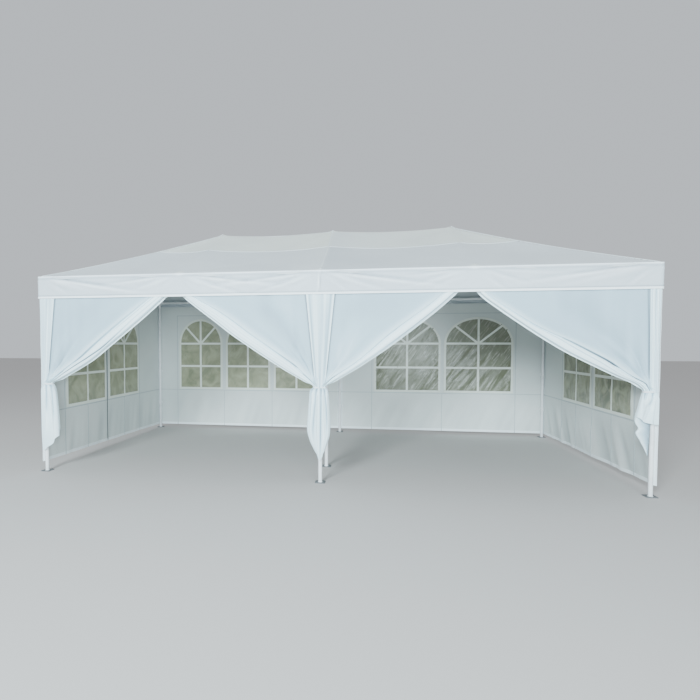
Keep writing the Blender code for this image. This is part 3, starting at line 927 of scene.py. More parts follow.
class Wall:
    """Where a wall stands, which way it runs and where its windows are."""

    def __init__(self, place, count, gap, film, strength, slant):
        self.place, self.film, self.strength, self.slant = place, film, strength, slant
        low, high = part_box(f"wall_{place}")
        clear_low, clear_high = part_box(f"clear_sheet_{place}")
        self.runs_x = place.startswith("back")
        self.axis, self.thick = (0, 1) if self.runs_x else (1, 0)
        self.middle = (low[self.thick] + high[self.thick]) / 2
        self.facing = 1 if self.middle > 0 else -1
        self.start = low[self.axis] if self.runs_x else SIDE_SET_BACK - leg_y
        self.end = high[self.axis]
        self.foot, self.top = low.z, high.z
        self.clear_start, self.clear_end = clear_low[self.axis], clear_high[self.axis]
        self.clear_foot, self.clear_top = clear_low.z, clear_high.z
        self.sill = clear_low.z + CLEAR_LAP
        self.crown = clear_high.z - CLEAR_LAP
        first = self.clear_start + CLEAR_LAP
        width = (self.clear_end - CLEAR_LAP - first - (count - 1) * gap) / count
        lefts = [first + number * (width + gap) for number in range(count)]
        self.windows = [(left, left + width) for left in lefts]
        self.seed = sum(ord(letter) for letter in place) * 0.37

    def foot_at(self, along):
        if self.runs_x:
            return self.foot
        return self.foot + FOOT_RISE * (self.end - along) / (self.end - self.start)

    def point(self, along, height, out):
        """A point by its place along the wall, its height and its distance out from the cloth."""
        aside = self.middle + self.facing * out
        return Vector((along, aside, height)) if self.runs_x else Vector((aside, along, height))

    def inside(self, along, margin):
        """1 on the wall, falling to 0 over a margin at both its ends."""
        return smooth(0, margin, along - self.start) * smooth(0, margin, self.end - along)

    def folds(self, along, height):
        """The soft folds under the windows, from about -1 in a valley to 1 on a ridge."""
        slant = self.slant * (self.sill - height)
        folds = wobble(along * 5.2 + slant * 2, height * 0.5, self.seed)
        folds += 0.7 * wobble(along * 11 + slant * 6, height * 0.8, self.seed + 7)
        return self.strength * folds * self.inside(along, 0.2) * smooth(0, 0.35, self.sill - height)

    def sway(self, along, height):
        """How far the cloth stands out from flat."""
        slack = wobble(along * 1.1, height * 1.3, self.seed + 3)
        calm = 0.35 if self.clear_foot < height < self.clear_top else 1.0
        billow = BILLOW * max(-0.25, slack) * calm + LEAST_STAND
        edge = self.inside(along, 0.25) * smooth(0, 0.3, self.top - height)
        return edge * billow + FOLD_DEPTH * self.folds(along, height)


walls = {place: Wall(place, **sizes) for place, sizes in wall_sizes.items()}


def window_point(wall, window, share):
    """A point of a window's outline: around the arch first, then down, along the sill and up."""
    left, right = window
    middle, half = (left + right) / 2, (right - left) / 2
    if share <= ARCH_SHARE:
        angle = math.pi * share / ARCH_SHARE
        rise = (wall.crown - WINDOW_SPRING) * math.sin(angle)
        return middle + half * math.cos(angle), WINDOW_SPRING + rise
    share -= ARCH_SHARE
    if share <= SIDE_SHARE:
        return left, blend(WINDOW_SPRING, wall.sill, share / SIDE_SHARE)
    share -= SIDE_SHARE
    if share <= SILL_SHARE:
        return blend(left, right, share / SILL_SHARE), wall.sill
    return right, blend(wall.sill, WINDOW_SPRING, (share - SILL_SHARE) / SIDE_SHARE)


def window_cutter(wall, window):
    """A prism of the window's outline, made from a cylinder."""
    deselect()
    bpy.ops.mesh.primitive_cylinder_add(vertices=WINDOW_EDGES, radius=1, depth=2)
    cutter = bpy.context.object
    for corner in cutter.data.vertices:
        share = (math.atan2(corner.co.y, corner.co.x) / (2 * math.pi)) % 1
        number = round(share * WINDOW_EDGES) % WINDOW_EDGES
        along, height = window_point(wall, window, number / WINDOW_EDGES)
        corner.co = wall.point(along, height, CUTTER_HALF * corner.co.z)
    face_outward(cutter)
    return cutter


def wall_sheet(wall):
    """The cloth of one wall, cut while it is flat and then let sway."""
    columns = round((wall.end - wall.start) / WALL_CELL)
    rows = round((wall.top - wall.foot) / WALL_CELL)

    def place(across, up):
        along = blend(wall.start, wall.end, across)
        return wall.point(along, blend(wall.foot_at(along), wall.top, up), 0)

    piece = shaped_sheet(f"wall_cloth_{wall.place}", columns, rows, place, WALL_THICKNESS)
    for window in wall.windows:
        cut_away(piece, window_cutter(wall, window))
    marks = piece.data.attributes["doubling, painted light and shade"]
    for number, corner in enumerate(piece.data.vertices):
        along, height = corner.co[wall.axis], corner.co.z
        # The folds are painted: painted shade where they bulge outwards and painted light where they
        # sink in.
        marks.data[number].value = 0.5 - FOLD_TONE * wall.folds(along, height)
        corner.co[wall.thick] += wall.facing * wall.sway(along, height)
    shade_round(piece, SHEET_ANGLE)
    return piece


# The walls' cloth is tinted a little green, as painted light reflected up from the ground. The lit
# and shaded colours are painted light and shade for its folds.
WALL_COLOUR = (0.69, 0.74, 0.72, 1)
WALL_LIT = (0.88, 0.92, 0.90, 1)
WALL_SHADED = (0.44, 0.49, 0.49, 1)
wall_cloths = {
    True: cloth_finish("wall cloth of the back", WALL_COLOUR, "XZ", WALL_LIT, WALL_SHADED),
    False: cloth_finish("wall cloth of the sides", WALL_COLOUR, "YZ", WALL_LIT, WALL_SHADED),
}
wall_pieces = {}
for place, wall in walls.items():
    wall_pieces[place] = wall_sheet(wall)
    finish(wall_pieces[place], wall_cloths[wall.runs_x], "wall_cloth", f"wall_{place}")

# Clear sheets
# Clear vinyl is sewn on inside each wall, over its windows. It was packed rolled up, so it keeps
# long creases that run up to the right.
FILM_THICKNESS = 0.001
FILM_CELL = 0.016
FILM_EDGE = 0.006  # how far it laps over the cloth around each window
FILM_SET = 0.0035  # from the middle of the wall's cloth in to the middle of the film
FILM_MARGIN = 0.05  # at the edges, where the film lies flat
FILM_ROUGHNESS = 0.32
FILM_ALPHA = 0.78
CREASE_SLOPE = math.radians(56)
STREAK_STRETCH = (46, 46, 5)  # how often the painted highlight streaks repeat in a metre, across and along
STREAK_HIGHLIGHT = (0.78, 0.79, 0.72, 1)


def film_set(wall, along, height):
    """How far in from flat the film is, with its creases."""
    across = height * math.cos(CREASE_SLOPE) - along * math.sin(CREASE_SLOPE)
    run = along * math.cos(CREASE_SLOPE) + height * math.sin(CREASE_SLOPE)
    creases = wobble(across * 13, run * 2.2, wall.seed)
    creases += 0.55 * wobble(across * 29, run * 4.5, wall.seed + 11)
    creases += 0.25 * wobble(along * 40, height * 40, wall.seed + 5)
    edge = 1.0
    for inwards in (along - wall.clear_start, wall.clear_end - along,
                    height - wall.clear_foot, wall.clear_top - height):
        edge *= smooth(0, FILM_MARGIN, inwards)
    return -FILM_SET - edge * wall.film * (0.5 + creases) + wall.sway(along, height)


def film_sheet(wall, window):
    """The clear vinyl of one window. Its edge is hidden between the strips around it."""
    left, right = window[0] - FILM_EDGE, window[1] + FILM_EDGE
    middle, half = (left + right) / 2, (right - left) / 2
    columns = round((right - left) / FILM_CELL)
    rows = round((wall.crown - wall.sill) / FILM_CELL)

    def place(across, up):
        turn = math.pi * (1 - across)
        along = middle + half * math.cos(turn)
        arch = (wall.crown + FILM_EDGE - WINDOW_SPRING) * math.sin(turn)
        height = blend(wall.sill - FILM_EDGE, WINDOW_SPRING + arch, up)
        return wall.point(along, height, film_set(wall, along, height))

    return shaped_sheet("film", columns, rows, place, FILM_THICKNESS)


def film_finish(name, turn_axis, turn, streaked, dark, light):
    """Slightly yellowed clear vinyl with painted whitish highlights along its creases."""
    material, shader = plain_finish(name, light, FILM_ROUGHNESS)
    place = own_place(material)
    blotches = clouds(material, place, 5, 7, 1.2)
    tinted = tones(material, blotches, (0.35, dark), (0.7, light))
    turned = add_node(material, "VectorRotate", {"Angle": turn}, {"Vector": place},
                      rotation_type=turn_axis)
    drawn = add_node(material, "VectorMath", {1: STREAK_STRETCH}, {0: turned.outputs["Vector"]},
                     operation="MULTIPLY")
    streaks = clouds(material, drawn.outputs["Vector"], 1, 5, 0.8)
    reach = {"From Min": 0.53, "From Max": 0.80, "To Max": streaked}
    share = add_node(material, "MapRange", reach, {"Value": streaks}).outputs["Result"]
    highlighted = add_node(material, "Mix", {"B": STREAK_HIGHLIGHT}, {"Factor": share, "A": tinted},
                         data_type="RGBA")
    relief = bumps(material, blotches, 0.3, 0.004)
    wire(material, shader, {"Base Color": highlighted.outputs["Result"], "Normal": relief})
    shader.inputs["Alpha"].default_value = FILM_ALPHA
    return material


LEAN = CREASE_SLOPE - math.pi / 2
# The films' tints are partly the yellowed vinyl and partly painted shade for the dim view through
# each window: darkest on the back right and right walls, which also get the strongest painted
# highlight streaks.
FILM_LIGHT = (0.47, 0.48, 0.32, 1)
FILM_DARK = (0.27, 0.29, 0.18, 1)
FILM_DARKEST = (0.15, 0.16, 0.095, 1)
FILM_DIM = (0.22, 0.235, 0.15, 1)
film_looks = {
    "back_left": ("Y_AXIS", LEAN, 0.2, FILM_DARK, FILM_LIGHT),
    "back_right": ("Y_AXIS", LEAN, 0.75, FILM_DARKEST, FILM_DIM),
    "left": ("X_AXIS", 0, 0.15, FILM_DARK, FILM_LIGHT),
    "right": ("X_AXIS", 0, 0.35, FILM_DARKEST, FILM_LIGHT),
}
for place, wall in walls.items():
    piece = join_pieces(f"window_film_{place}", [film_sheet(wall, window) for window in wall.windows])
    vinyl = film_finish(f"clear vinyl, {place.replace('_', ' ')}", *film_looks[place])
    finish(piece, vinyl, "clear_film", f"clear_sheet_{place}")

# Window bars
# White vinyl strips welded to both faces of the film: a frame around each window, a middle bar,
# two cross bars and two slanting bars in the arch.
BAR_WIDTH = 0.030
BAR_THICKNESS = 0.0012
BAR_SET = 0.0014  # from the middle of the film to the middle of a strip
BAR_STEP = 0.03
LOW_BAR = 1.01
SLANT_SHARES = (0.125, 0.375)  # where the slanting bars meet the arch
ARCH_STEPS = 36
SHORT_WAY = 0.002  # a share of a strip's length, over which its course is measured


def bar_strip(wall, line, steps, side):
    """A strip that follows the film along a line of places and heights."""

    def place(across, along):
        here, height = line(along)
        ahead, ahead_height = line(min(1, along + SHORT_WAY))
        behind, behind_height = line(max(0, along - SHORT_WAY))
        course = Vector((ahead - behind, ahead_height - behind_height)).normalized()
        spot_along = here - course.y * (across - 0.5) * BAR_WIDTH
        spot_height = height + course.x * (across - 0.5) * BAR_WIDTH
        set_out = film_set(wall, spot_along, spot_height) + side * BAR_SET
        return wall.point(spot_along, spot_height, set_out)

    return shaped_sheet("strip", 2, steps, place, BAR_THICKNESS)


def straight(first, last):
    """A straight line between two points, and how many steps a strip along it takes."""
    length = math.hypot(last[0] - first[0], last[1] - first[1])

    def line(share):
        return blend(first[0], last[0], share), blend(first[1], last[1], share)

    return line, max(2, round(length / BAR_STEP))


def window_area(wall, window):
    half = (window[1] - window[0]) / 2
    arch = math.pi / 2 * half * (wall.crown - WINDOW_SPRING)
    return 2 * half * (WINDOW_SPRING - wall.sill) + arch


def window_bars(wall, window):
    """The courses of all the bars of one window."""
    left, right = window
    middle = (left + right) / 2
    slants = [window_point(wall, window, share) for share in SLANT_SHARES]
    courses = [
        straight((middle, wall.sill), (middle, wall.crown)),
        straight((left, LOW_BAR), (right, LOW_BAR)),
        straight((left, WINDOW_SPRING), (right, WINDOW_SPRING)),
        straight((left, WINDOW_SPRING), (left, wall.sill)),
        straight((left - BAR_WIDTH / 2, wall.sill), (right + BAR_WIDTH / 2, wall.sill)),
        straight((right, wall.sill), (right, WINDOW_SPRING)),
    ]
    courses += [straight((middle, WINDOW_SPRING), slant) for slant in slants]
    courses.append((lambda share: window_point(wall, window, share * ARCH_SHARE), ARCH_STEPS))
    return courses


bar_vinyl = plain_finish("white vinyl strip", (0.80, 0.84, 0.77, 1), 0.45)[0]
for place, wall in walls.items():
    courses = [course for window in wall.windows for course in window_bars(wall, window)]
    strips = [bar_strip(wall, *course, side) for course in courses for side in (-1, 1)]
    bars = join_pieces(f"window_bars_{place}", strips)
    finish(bars, bar_vinyl, "wall_cloth")
    width = wall.clear_end - wall.clear_start
    height = wall.clear_top - wall.clear_foot
    glazed = sum(window_area(wall, window) for window in wall.windows)
    width, height = wall.end - wall.start, wall.top - wall.foot
    cloth = width * (height - (wall.foot_at(wall.start) - wall.foot) / 2) - glazed

# Wall trim
# Every wall has a hem of white tape along its foot and ends. Welted seams run from the hem up
# beside and between the windows, and one runs along under the sills.
HEM_WIDTH = 0.034
HEM_THICKNESS = 0.0055
SEAM_STEP = 0.04
SILL_SEAM_DROP = 0.028  # under the sills
PANEL_RISE = 0.075  # the seamed panel around the windows goes this far past the crowns
PANEL_REACH = 0.05  # and this far past the outer windows
WELT_WIDTH = 0.011
WELT_THICKNESS = 0.0062
EDGE_LAP = 0.010  # of a side wall's front edge over its hem
EDGE_REACH = 0.030
EDGE_OUT = 0.016
EDGE_WAVE = 0.003


def trim_strip(wall, first, last, width, thickness):
    """A straight strip on both faces of a wall, from one (place, height) to another."""
    length = math.hypot(last[0] - first[0], last[1] - first[1])
    course = Vector((last[0] - first[0], last[1] - first[1])) / length

    def place(across, along):
        spot = Vector(first) + course * (along * length)
        spot += Vector((-course.y, course.x)) * ((across - 0.5) * width)
        return wall.point(spot.x, spot.y, wall.sway(spot.x, spot.y))

    return shaped_sheet("strip", 2, max(2, round(length / SEAM_STEP)), place, thickness)


def front_edge(wall):
    """The loose front edge of a side wall, which stands out a little past the front leg."""

    def place(across, up):
        height = blend(wall.foot_at(wall.start), wall.top, up)
        wave = EDGE_WAVE * wobble(height * 4, wall.seed, across)
        out = EDGE_OUT * smooth(0, 1, across)
        return wall.point(wall.start + EDGE_LAP - EDGE_REACH * across, height, out + wave)

    return shaped_sheet("strip", 4, 40, place, HEM_THICKNESS)


def wall_hems(wall):
    half = HEM_WIDTH / 2
    first, last = wall.start, wall.end
    foot, last_foot = wall.foot_at(first), wall.foot_at(last)
    courses = [
        ((first, foot + half), (last, last_foot + half)),
        ((first + half, foot), (first + half, wall.top)),
        ((last - half, last_foot), (last - half, wall.top)),
    ]
    hems = [trim_strip(wall, *course, HEM_WIDTH, HEM_THICKNESS) for course in courses]
    return hems if wall.runs_x else hems + [front_edge(wall)]


def wall_seams(wall):
    """The seams along under the sills, around the panel with the windows, and below them."""
    sill_seam = wall.sill - SILL_SEAM_DROP
    panel_top = wall.crown + PANEL_RISE
    panel_start = wall.windows[0][0] - PANEL_REACH
    panel_end = wall.windows[-1][1] + PANEL_REACH
    lines = [
        ((wall.start, sill_seam), (wall.end, sill_seam)),
        ((panel_start, wall.foot_at(panel_start)), (panel_start, panel_top)),
        ((panel_end, wall.foot_at(panel_end)), (panel_end, panel_top)),
        ((panel_start, panel_top), (panel_end, panel_top)),
    ]
    uprights = [(one[1] + other[0]) / 2 for one, other in zip(wall.windows, wall.windows[1:])]
    if not wall.runs_x:
        uprights += [(window[0] + window[1]) / 2 for window in wall.windows]
    lines += [((along, wall.foot_at(along)), (along, sill_seam)) for along in uprights]
    return [trim_strip(wall, *line, WELT_WIDTH, WELT_THICKNESS) for line in lines]


# The welts are painted darker than the wall cloth, as a painted shadow line along each seam, and
# darker on the side walls than at the back, as painted shade.
seam_shades = {
    True: cloth_finish("wall seam of the back", (0.52, 0.58, 0.58, 1), "XZ"),
    False: cloth_finish("wall seam of the sides", (0.46, 0.52, 0.53, 1), "YZ"),
}
for place, wall in walls.items():
    finish(join_pieces(f"wall_hem_{place}", wall_hems(wall)), tape_cloth, "wall_cloth")
    seam = join_pieces(f"wall_seams_{place}", wall_seams(wall))
    finish(seam, seam_shades[wall.runs_x], "wall_cloth")

# Left wall zip
# The left wall opens down its middle: a closed coil zip runs from the top to the foot between the
# two windows. It is painted near black, as painted shadow in the narrow gap between the two edges
# of the cloth.
ZIP_WIDTH = 0.016
ZIP_THICKNESS = 0.0075
ZIP_END = 0.01  # how far from the wall's foot and top it stops
zip_coil = plain_finish("zip coil", (0.07, 0.08, 0.09, 1), 0.5)[0]
wall = walls["left"]
middle = (wall.windows[0][1] + wall.windows[1][0]) / 2
course = (middle, wall.foot_at(middle) + ZIP_END), (middle, wall.top - ZIP_END)
coil = trim_strip(wall, *course, ZIP_WIDTH, ZIP_THICKNESS)
coil.name = "wall_zip_left"
finish(coil, zip_coil, "wall_cloth")

# Wall ties
# Ribbons sewn to the ends of the walls are tied around the back legs in small bows.
RIBBON = 0.0035  # radius of the gathered ribbon
RIBBON_ROUND = 0.0008
KNOT = 0.008
LOOP = 0.019
LOOP_OUT = 0.006
LOOP_DROP = 0.003
LOOP_AIM = (0, 1, 0.25)
END_REACH = Vector((0.022, -0.002, -0.055))  # of the ribbon's ends from the knot
BOW_HEIGHTS = (0.93, 0.42)
tie_ribbon = plain_finish("tie ribbon", (0.90, 0.92, 0.93, 1), 0.6)[0]


def bow(x, y, height):
    """A ribbon around a leg with a knot in front and a loop to each side."""
    knot = Vector((x, y - TUBE_RADIUS - 2 * RIBBON, height))
    pieces = [ring(TUBE_RADIUS + RIBBON, RIBBON, (x, y, height), (0, 0, 1)), ball(knot, KNOT)]
    for side in (-1, 1):
        loop_place = knot + Vector((side * (LOOP + LOOP_OUT), 0, -LOOP_DROP))
        pieces.append(ring(LOOP, RIBBON, loop_place, LOOP_AIM))
        end = knot + Vector((side * END_REACH.x, END_REACH.y, END_REACH.z))
        pieces.append(tube("ribbon", knot, end, RIBBON, RIBBON_ROUND))
    return pieces


for place, x in leg_places.items():
    bows = [piece for height in BOW_HEIGHTS for piece in bow(x, leg_y, height)]
    finish(join_pieces(f"wall_ties_{place}", bows), tie_ribbon, "wall_cloth")

# Front curtains
# Two curtains to a bay, tied to the front eave rail. Each was cut as a plain rectangle. Its free
# edge is folded up behind itself with the hem showing, drawn to a leg and tied there, so the cloth
# fans out from the tie, and what is below the tie hangs in long soft folds.
CURTAIN_THICKNESS = 0.0014
CURTAIN_SET = 0.002  # from the front edge of the side walls back to the curtains
TIE_SET = 0.0125  # from the top of the solid tails down to the middle of the ties
HANGING_ROWS = 92  # rows of faces above the tie
TAIL_ROWS = 52
HEM_SHOWS = 0.028  # the hem shows this far past the front fold
LAYER_GAP = 0.0032  # from one layer of the folded edge to the next
LAYER_REACH = 0.145  # of the layers behind the front fold
PULL_DEPTH = 0.015  # of the folds that run to the tie
SLACK_DEPTH = 0.018  # of the slow waves of the field
UPRIGHT_DEPTH = 0.010  # of the upright folds near the leg
HANGING_DEPTH = 0.009  # of the folds that hang from the rail
VALLEY_DEPTH = 0.014  # of a crease of sharpness 1
VALLEY_SHARE = 0.16  # of the folded edge, across which the crease runs
ROLL_DEPTH = 0.018
GROOVE_DEPTH = 0.010
SWELL_RISE = 0.010  # of the soft swelling of the field beside the crease
SWELL_WIDTH = 0.06
STRIP_AT_TIE = 0.040
PLEATING = 0.22  # the last share of the way down, over which the pleats at the tie begin
CLOSING = 0.05  # and the share over which the cloth closes up to the bundle
LEG_CLEAR = 0.030  # the hidden folds of a tail keep this far from the leg's axis
BUNDLE_SET = 0.010  # how far behind the curtains the sides of a bundle are
BUNDLE_BULGE = 0.024  # of its front at the tie
TAIL_BULGE = 0.040
PLEAT_DEPTH = 0.006
TAIL_FOLD_DEPTH = 0.006
TAIL_CREASE_DEPTH = 0.011

curtain_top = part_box("curtain_inner_left")[1].z
curtain_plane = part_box("wall_left")[0].y + CURTAIN_SET
tie_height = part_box("curtain_tail_middle")[1].z - TIE_SET

# The four curtains, in distances from the leg and shares of the way down to the tie.
# leg, reach: where the leg is, and which way the cloth reaches from it
# start, strip: where the cloth starts, and how far the strip before the leg covers it at the top
# folds: how finely the bundle is pleated
# edge, band: how far the folded edge reaches, and how wide it is, at some shares
# crease: how sharp the crease beside it is at some shares
# grooves: the grooves along it, each by its place across and its depth at some shares
# tail: how wide the tail is at some heights
# hem, behind: the heights at which it ends in front and behind, at some shares of its width
# tail_creases: the place across, length, height and lean of each crease in it
# nodes: the solids that the curtain stands in for
curtains = {
    "outer_left": {
        "leg": -leg_x, "reach": 1, "start": -0.016, "strip": 0.149, "folds": 2.6, "seed": 2.0,
        "edge": [(0, 1.48), (0.07, 1.445), (0.139, 1.368), (0.313, 1.155), (0.491, 0.922),
                 (0.61, 0.762), (0.75, 0.572), (0.854, 0.390), (0.94, 0.225), (1, 0.125)],
        "band": [(0, 0.15), (0.35, 0.215), (0.62, 0.21), (0.85, 0.165), (1, 0.06)],
        "crease": [(0, 0.2), (0.4, 0.6), (0.8, 1.0), (1, 0.6)],
        "grooves": [([(0, 0.74), (0.25, 0.59), (0.34, 0.57), (0.45, 0.67), (0.55, 0.75),
                      (0.64, 0.75), (0.72, 0.55), (0.81, 0.36), (1, 0.36)],
                     [(0, 0.45), (0.4, 0.45), (0.6, 1.1), (0.75, 1.4), (1, 1.5)]),
                    ([(0, 0.14), (1, 0.14)], [(0, 0.45), (0.35, 0.45), (0.5, 0), (1, 0)])],
        "tail": [(0.94, 0.095), (0.90, 0.118), (0.80, 0.136), (0.60, 0.152), (0.40, 0.160),
                 (0.2, 0.160)],
        "hem": [(0, 0.228), (0.45, 0.275), (1, 0.386)],
        "behind": [(0, 0.40), (1, 0.46)],
        "tail_creases": [(0.24, 0.5, 0.9, 0.35), (0.44, 0.35, -1.0, -0.3),
                         (0.60, 0.7, 1.1, 0.35), (0.80, 0.45, -0.8, 0.1)],
        "nodes": ["curtain_outer_left", "curtain_tail_left"],
    },
    "inner_left": {
        "leg": 0.0, "reach": -1, "start": 0.001, "strip": 0.149, "folds": 2.2, "seed": 11.0,
        "edge": [(0, 1.475), (0.07, 1.45), (0.142, 1.388), (0.26, 1.232), (0.378, 1.067),
                 (0.494, 0.910), (0.61, 0.733), (0.724, 0.552), (0.838, 0.364), (0.95, 0.160),
                 (1, 0.085)],
        "band": [(0, 0.07), (0.116, 0.12), (0.3, 0.21), (0.77, 0.21), (0.88, 0.14), (1, 0.05)],
        "crease": [(0, 0.3), (0.4, 0.5), (0.6, 0.5), (0.8, 1.0), (1, 0.8)],
        "grooves": [([(0, 0.35), (1, 0.35)], [(0, 0.25), (1, 0.25)]),
                    ([(0, 0.68), (1, 0.68)], [(0, 0.3), (0.5, 0.2), (1, 0.2)])],
        "tail": [(0.94, 0.068), (0.912, 0.100), (0.80, 0.112), (0.66, 0.122), (0.55, 0.129),
                 (0.49, 0.124), (0.40, 0.096), (0.32, 0.056), (0.26, 0.028), (0.2, 0.022)],
        "hem": [(0, 0.222), (0.6, 0.245), (1, 0.31)],
        "behind": [(0, 0.42), (1, 0.45)],
        "tail_creases": [(0.14, 0.7, 1.2, 0.1), (0.34, 0.5, -1.0, 0.5), (0.58, 0.6, 0.8, 0.4),
                         (0.85, 0.4, -0.7, -0.3)],
        "nodes": ["curtain_inner_left", "curtain_tail_middle"],
    },
    "inner_right": {
        "leg": 0.0, "reach": 1, "start": 0.001, "strip": 0.149, "folds": 2.3, "seed": 23.0,
        "edge": [(0, 1.41), (0.141, 1.27), (0.32, 1.062), (0.612, 0.675), (0.80, 0.392),
                 (0.92, 0.190), (1, 0.056)],
        "band": [(0, 0.12), (0.2, 0.14), (0.5, 0.178), (0.76, 0.115), (0.9, 0.10), (1, 0.04)],
        "crease": [(0, 1.0), (0.2, 1.2), (0.38, 0.9), (0.47, 0.5), (0.62, 0.5), (0.72, 0.9),
                   (0.8, 1.4), (0.9, 1.6), (1, 0.8)],
        "grooves": [([(0, 0.86), (0.5, 0.90), (0.76, 0.76), (1, 0.7)], [(0, 0.5), (1, 0.6)])],
        "tail": [(0.94, 0.056), (0.912, 0.076), (0.80, 0.089), (0.66, 0.097), (0.55, 0.100),
                 (0.47, 0.094), (0.40, 0.074), (0.32, 0.048), (0.26, 0.034), (0.2, 0.028)],
        "hem": [(0, 0.226), (0.6, 0.26), (1, 0.33)],
        "behind": [(0, 0.42), (1, 0.45)],
        "tail_creases": [(0.12, 0.7, -1.1, -0.2), (0.34, 0.6, 0.9, 0.3), (0.60, 0.45, -1.0, 0.2),
                         (0.80, 0.6, 0.8, 0.1)],
        "nodes": ["curtain_inner_right"],
    },
    "outer_right": {
        "leg": leg_x, "reach": -1, "start": -0.022, "strip": 0.062, "folds": 2.4, "seed": 37.0,
        "edge": [(0, 1.53), (0.11, 1.515), (0.183, 1.452), (0.291, 1.306), (0.394, 1.158),
                 (0.542, 0.935), (0.661, 0.739), (0.764, 0.536), (0.866, 0.325), (0.93, 0.175),
                 (1, 0.088)],
        "band": [(0, 0.06), (0.31, 0.10), (0.45, 0.13), (0.58, 0.215), (0.72, 0.23),
                 (0.84, 0.155), (0.89, 0.13), (1, 0.05)],
        "crease": [(0, 0.1), (0.35, 0.4), (0.7, 1.2), (0.9, 1.5), (1, 0.8)],
        "grooves": [([(0.2, 0.08), (0.45, 0.10), (0.52, 0.2), (0.6, 0.33), (0.78, 0.46),
                      (0.9, 0.62)], [(0, 0.5), (0.9, 0.45), (1, 0.3)])],
        "tail": [(0.94, 0.088), (0.91, 0.098), (0.80, 0.124), (0.70, 0.146), (0.66, 0.142),
                 (0.61, 0.116), (0.57, 0.136), (0.50, 0.100), (0.42, 0.058), (0.35, 0.030),
                 (0.3, 0.024)],
        "hem": [(0, 0.655), (0.5, 0.665), (1, 0.715)],
        "behind": [(0, 0.56), (0.5, 0.45), (1, 0.35)],
        "tail_creases": [(0.20, 0.4, 1.1, 0.6), (0.36, 0.32, -0.9, 0.9), (0.62, 0.30, 0.9, 0.5),
                         (0.88, 0.2, -0.6, 0)],
        "nodes": ["curtain_outer_right", "curtain_tail_right"],
    },
}

# The columns of a curtain's grid, from the leg to the hem: how many there are behind the strip
# before the leg, on the plain field, in the crease beside the folded edge, on its front, and in
# every turn and every layer behind it.
STRIP_COLUMNS = 8
FIELD_COLUMNS = 50
CREASE_COLUMNS = 6
ROLL_COLUMNS = 32
TURN_COLUMNS = 3
LAYER_COLUMNS = 4
LAYERS = 8
field_end = STRIP_COLUMNS + FIELD_COLUMNS
crease_end = field_end + CREASE_COLUMNS
front_columns = crease_end + ROLL_COLUMNS
curtain_columns = front_columns + LAYERS * (TURN_COLUMNS + LAYER_COLUMNS)
curtain_rows = HANGING_ROWS + TAIL_ROWS


def along_table(table, at):
    """A smooth line through a table of (place, value), at any place on it."""
    places = [row[0] for row in table]
    values = [row[1] for row in table]
    slopes = []
    for n in range(len(table)):
        before, after = max(0, n - 1), min(len(table) - 1, n + 1)
        slopes.append((values[after] - values[before]) / (places[after] - places[before]))
    for n in range(len(table) - 1):
        if min(places[n], places[n + 1]) <= at <= max(places[n], places[n + 1]):
            width = places[n + 1] - places[n]
            share = (at - places[n]) / width
            rise = values[n + 1] - values[n]
            early, late = slopes[n] * width - rise, rise - slopes[n + 1] * width
            line = blend(values[n], values[n + 1], share)
            return line + share * (1 - share) * (early * (1 - share) + late * share)
    return values[0] if abs(at - places[0]) < abs(at - places[-1]) else values[-1]


def layer_point(column, front_edge, last_edge, inner, depth):
    """A column behind the front fold: its distance from the leg and its depth."""
    layer, column = divmod(column - 1, TURN_COLUMNS + LAYER_COLUMNS)
    column += 1
    inwards = layer % 2 == 0
    near, far = (front_edge, inner) if inwards else (inner, front_edge)
    if layer == LAYERS - 1:
        far = last_edge
    depth -= LAYER_GAP * layer
    if column <= TURN_COLUMNS:
        angle = math.pi * column / TURN_COLUMNS
        bulge = LAYER_GAP / 2 * math.sin(angle)
        turned = depth - LAYER_GAP * (1 - math.cos(angle)) / 2
        return near + (bulge if inwards else -bulge), turned
    return blend(near, far, (column - TURN_COLUMNS) / LAYER_COLUMNS), depth - LAYER_GAP


def grooves(shape, share, down):
    """How deep the grooves along the folded edge are at a share of the way across it."""
    depth = 0.0
    for places, depths in shape["grooves"]:
        wander = 0.03 * wobble(down * 3.5, shape["seed"], places[0][1] * 9)
        deep = along_table(depths, down)
        aside = share - along_table(places, down) - wander
        depth += deep * bell(aside, 0.045 + 0.02 * deep)
    return depth


def field_depth(seed, share, reach, down):
    """How far the plain field of a curtain stands out: its pulls, waves and upright folds."""
    pulls = wobble(share * 8, down * 0.9, seed)
    pulls += 0.6 * wobble(share * 19, down * 1.4, seed + 4)
    slack = wobble(share * 2.6 + down, down * 2.2, seed + 8)
    upright = wobble(reach * 13, down * 1.3, seed + 12)
    hanging = wobble(reach * 6.5, down * 0.5, seed + 16)
    depth = PULL_DEPTH * smooth(0.3, 1.0, down) * pulls
    depth += SLACK_DEPTH * slack * smooth(0.02, 0.3, down)
    depth += UPRIGHT_DEPTH * upright * smooth(0.55, 0.2, reach) * smooth(0.0, 0.12, down)
    depth += HANGING_DEPTH * hanging * smooth(0.0, 0.08, down) * smooth(0.75, 0.15, down)
    return depth * math.sin(math.pi * min(1, share * 1.2)) * smooth(1, 0.9, share)


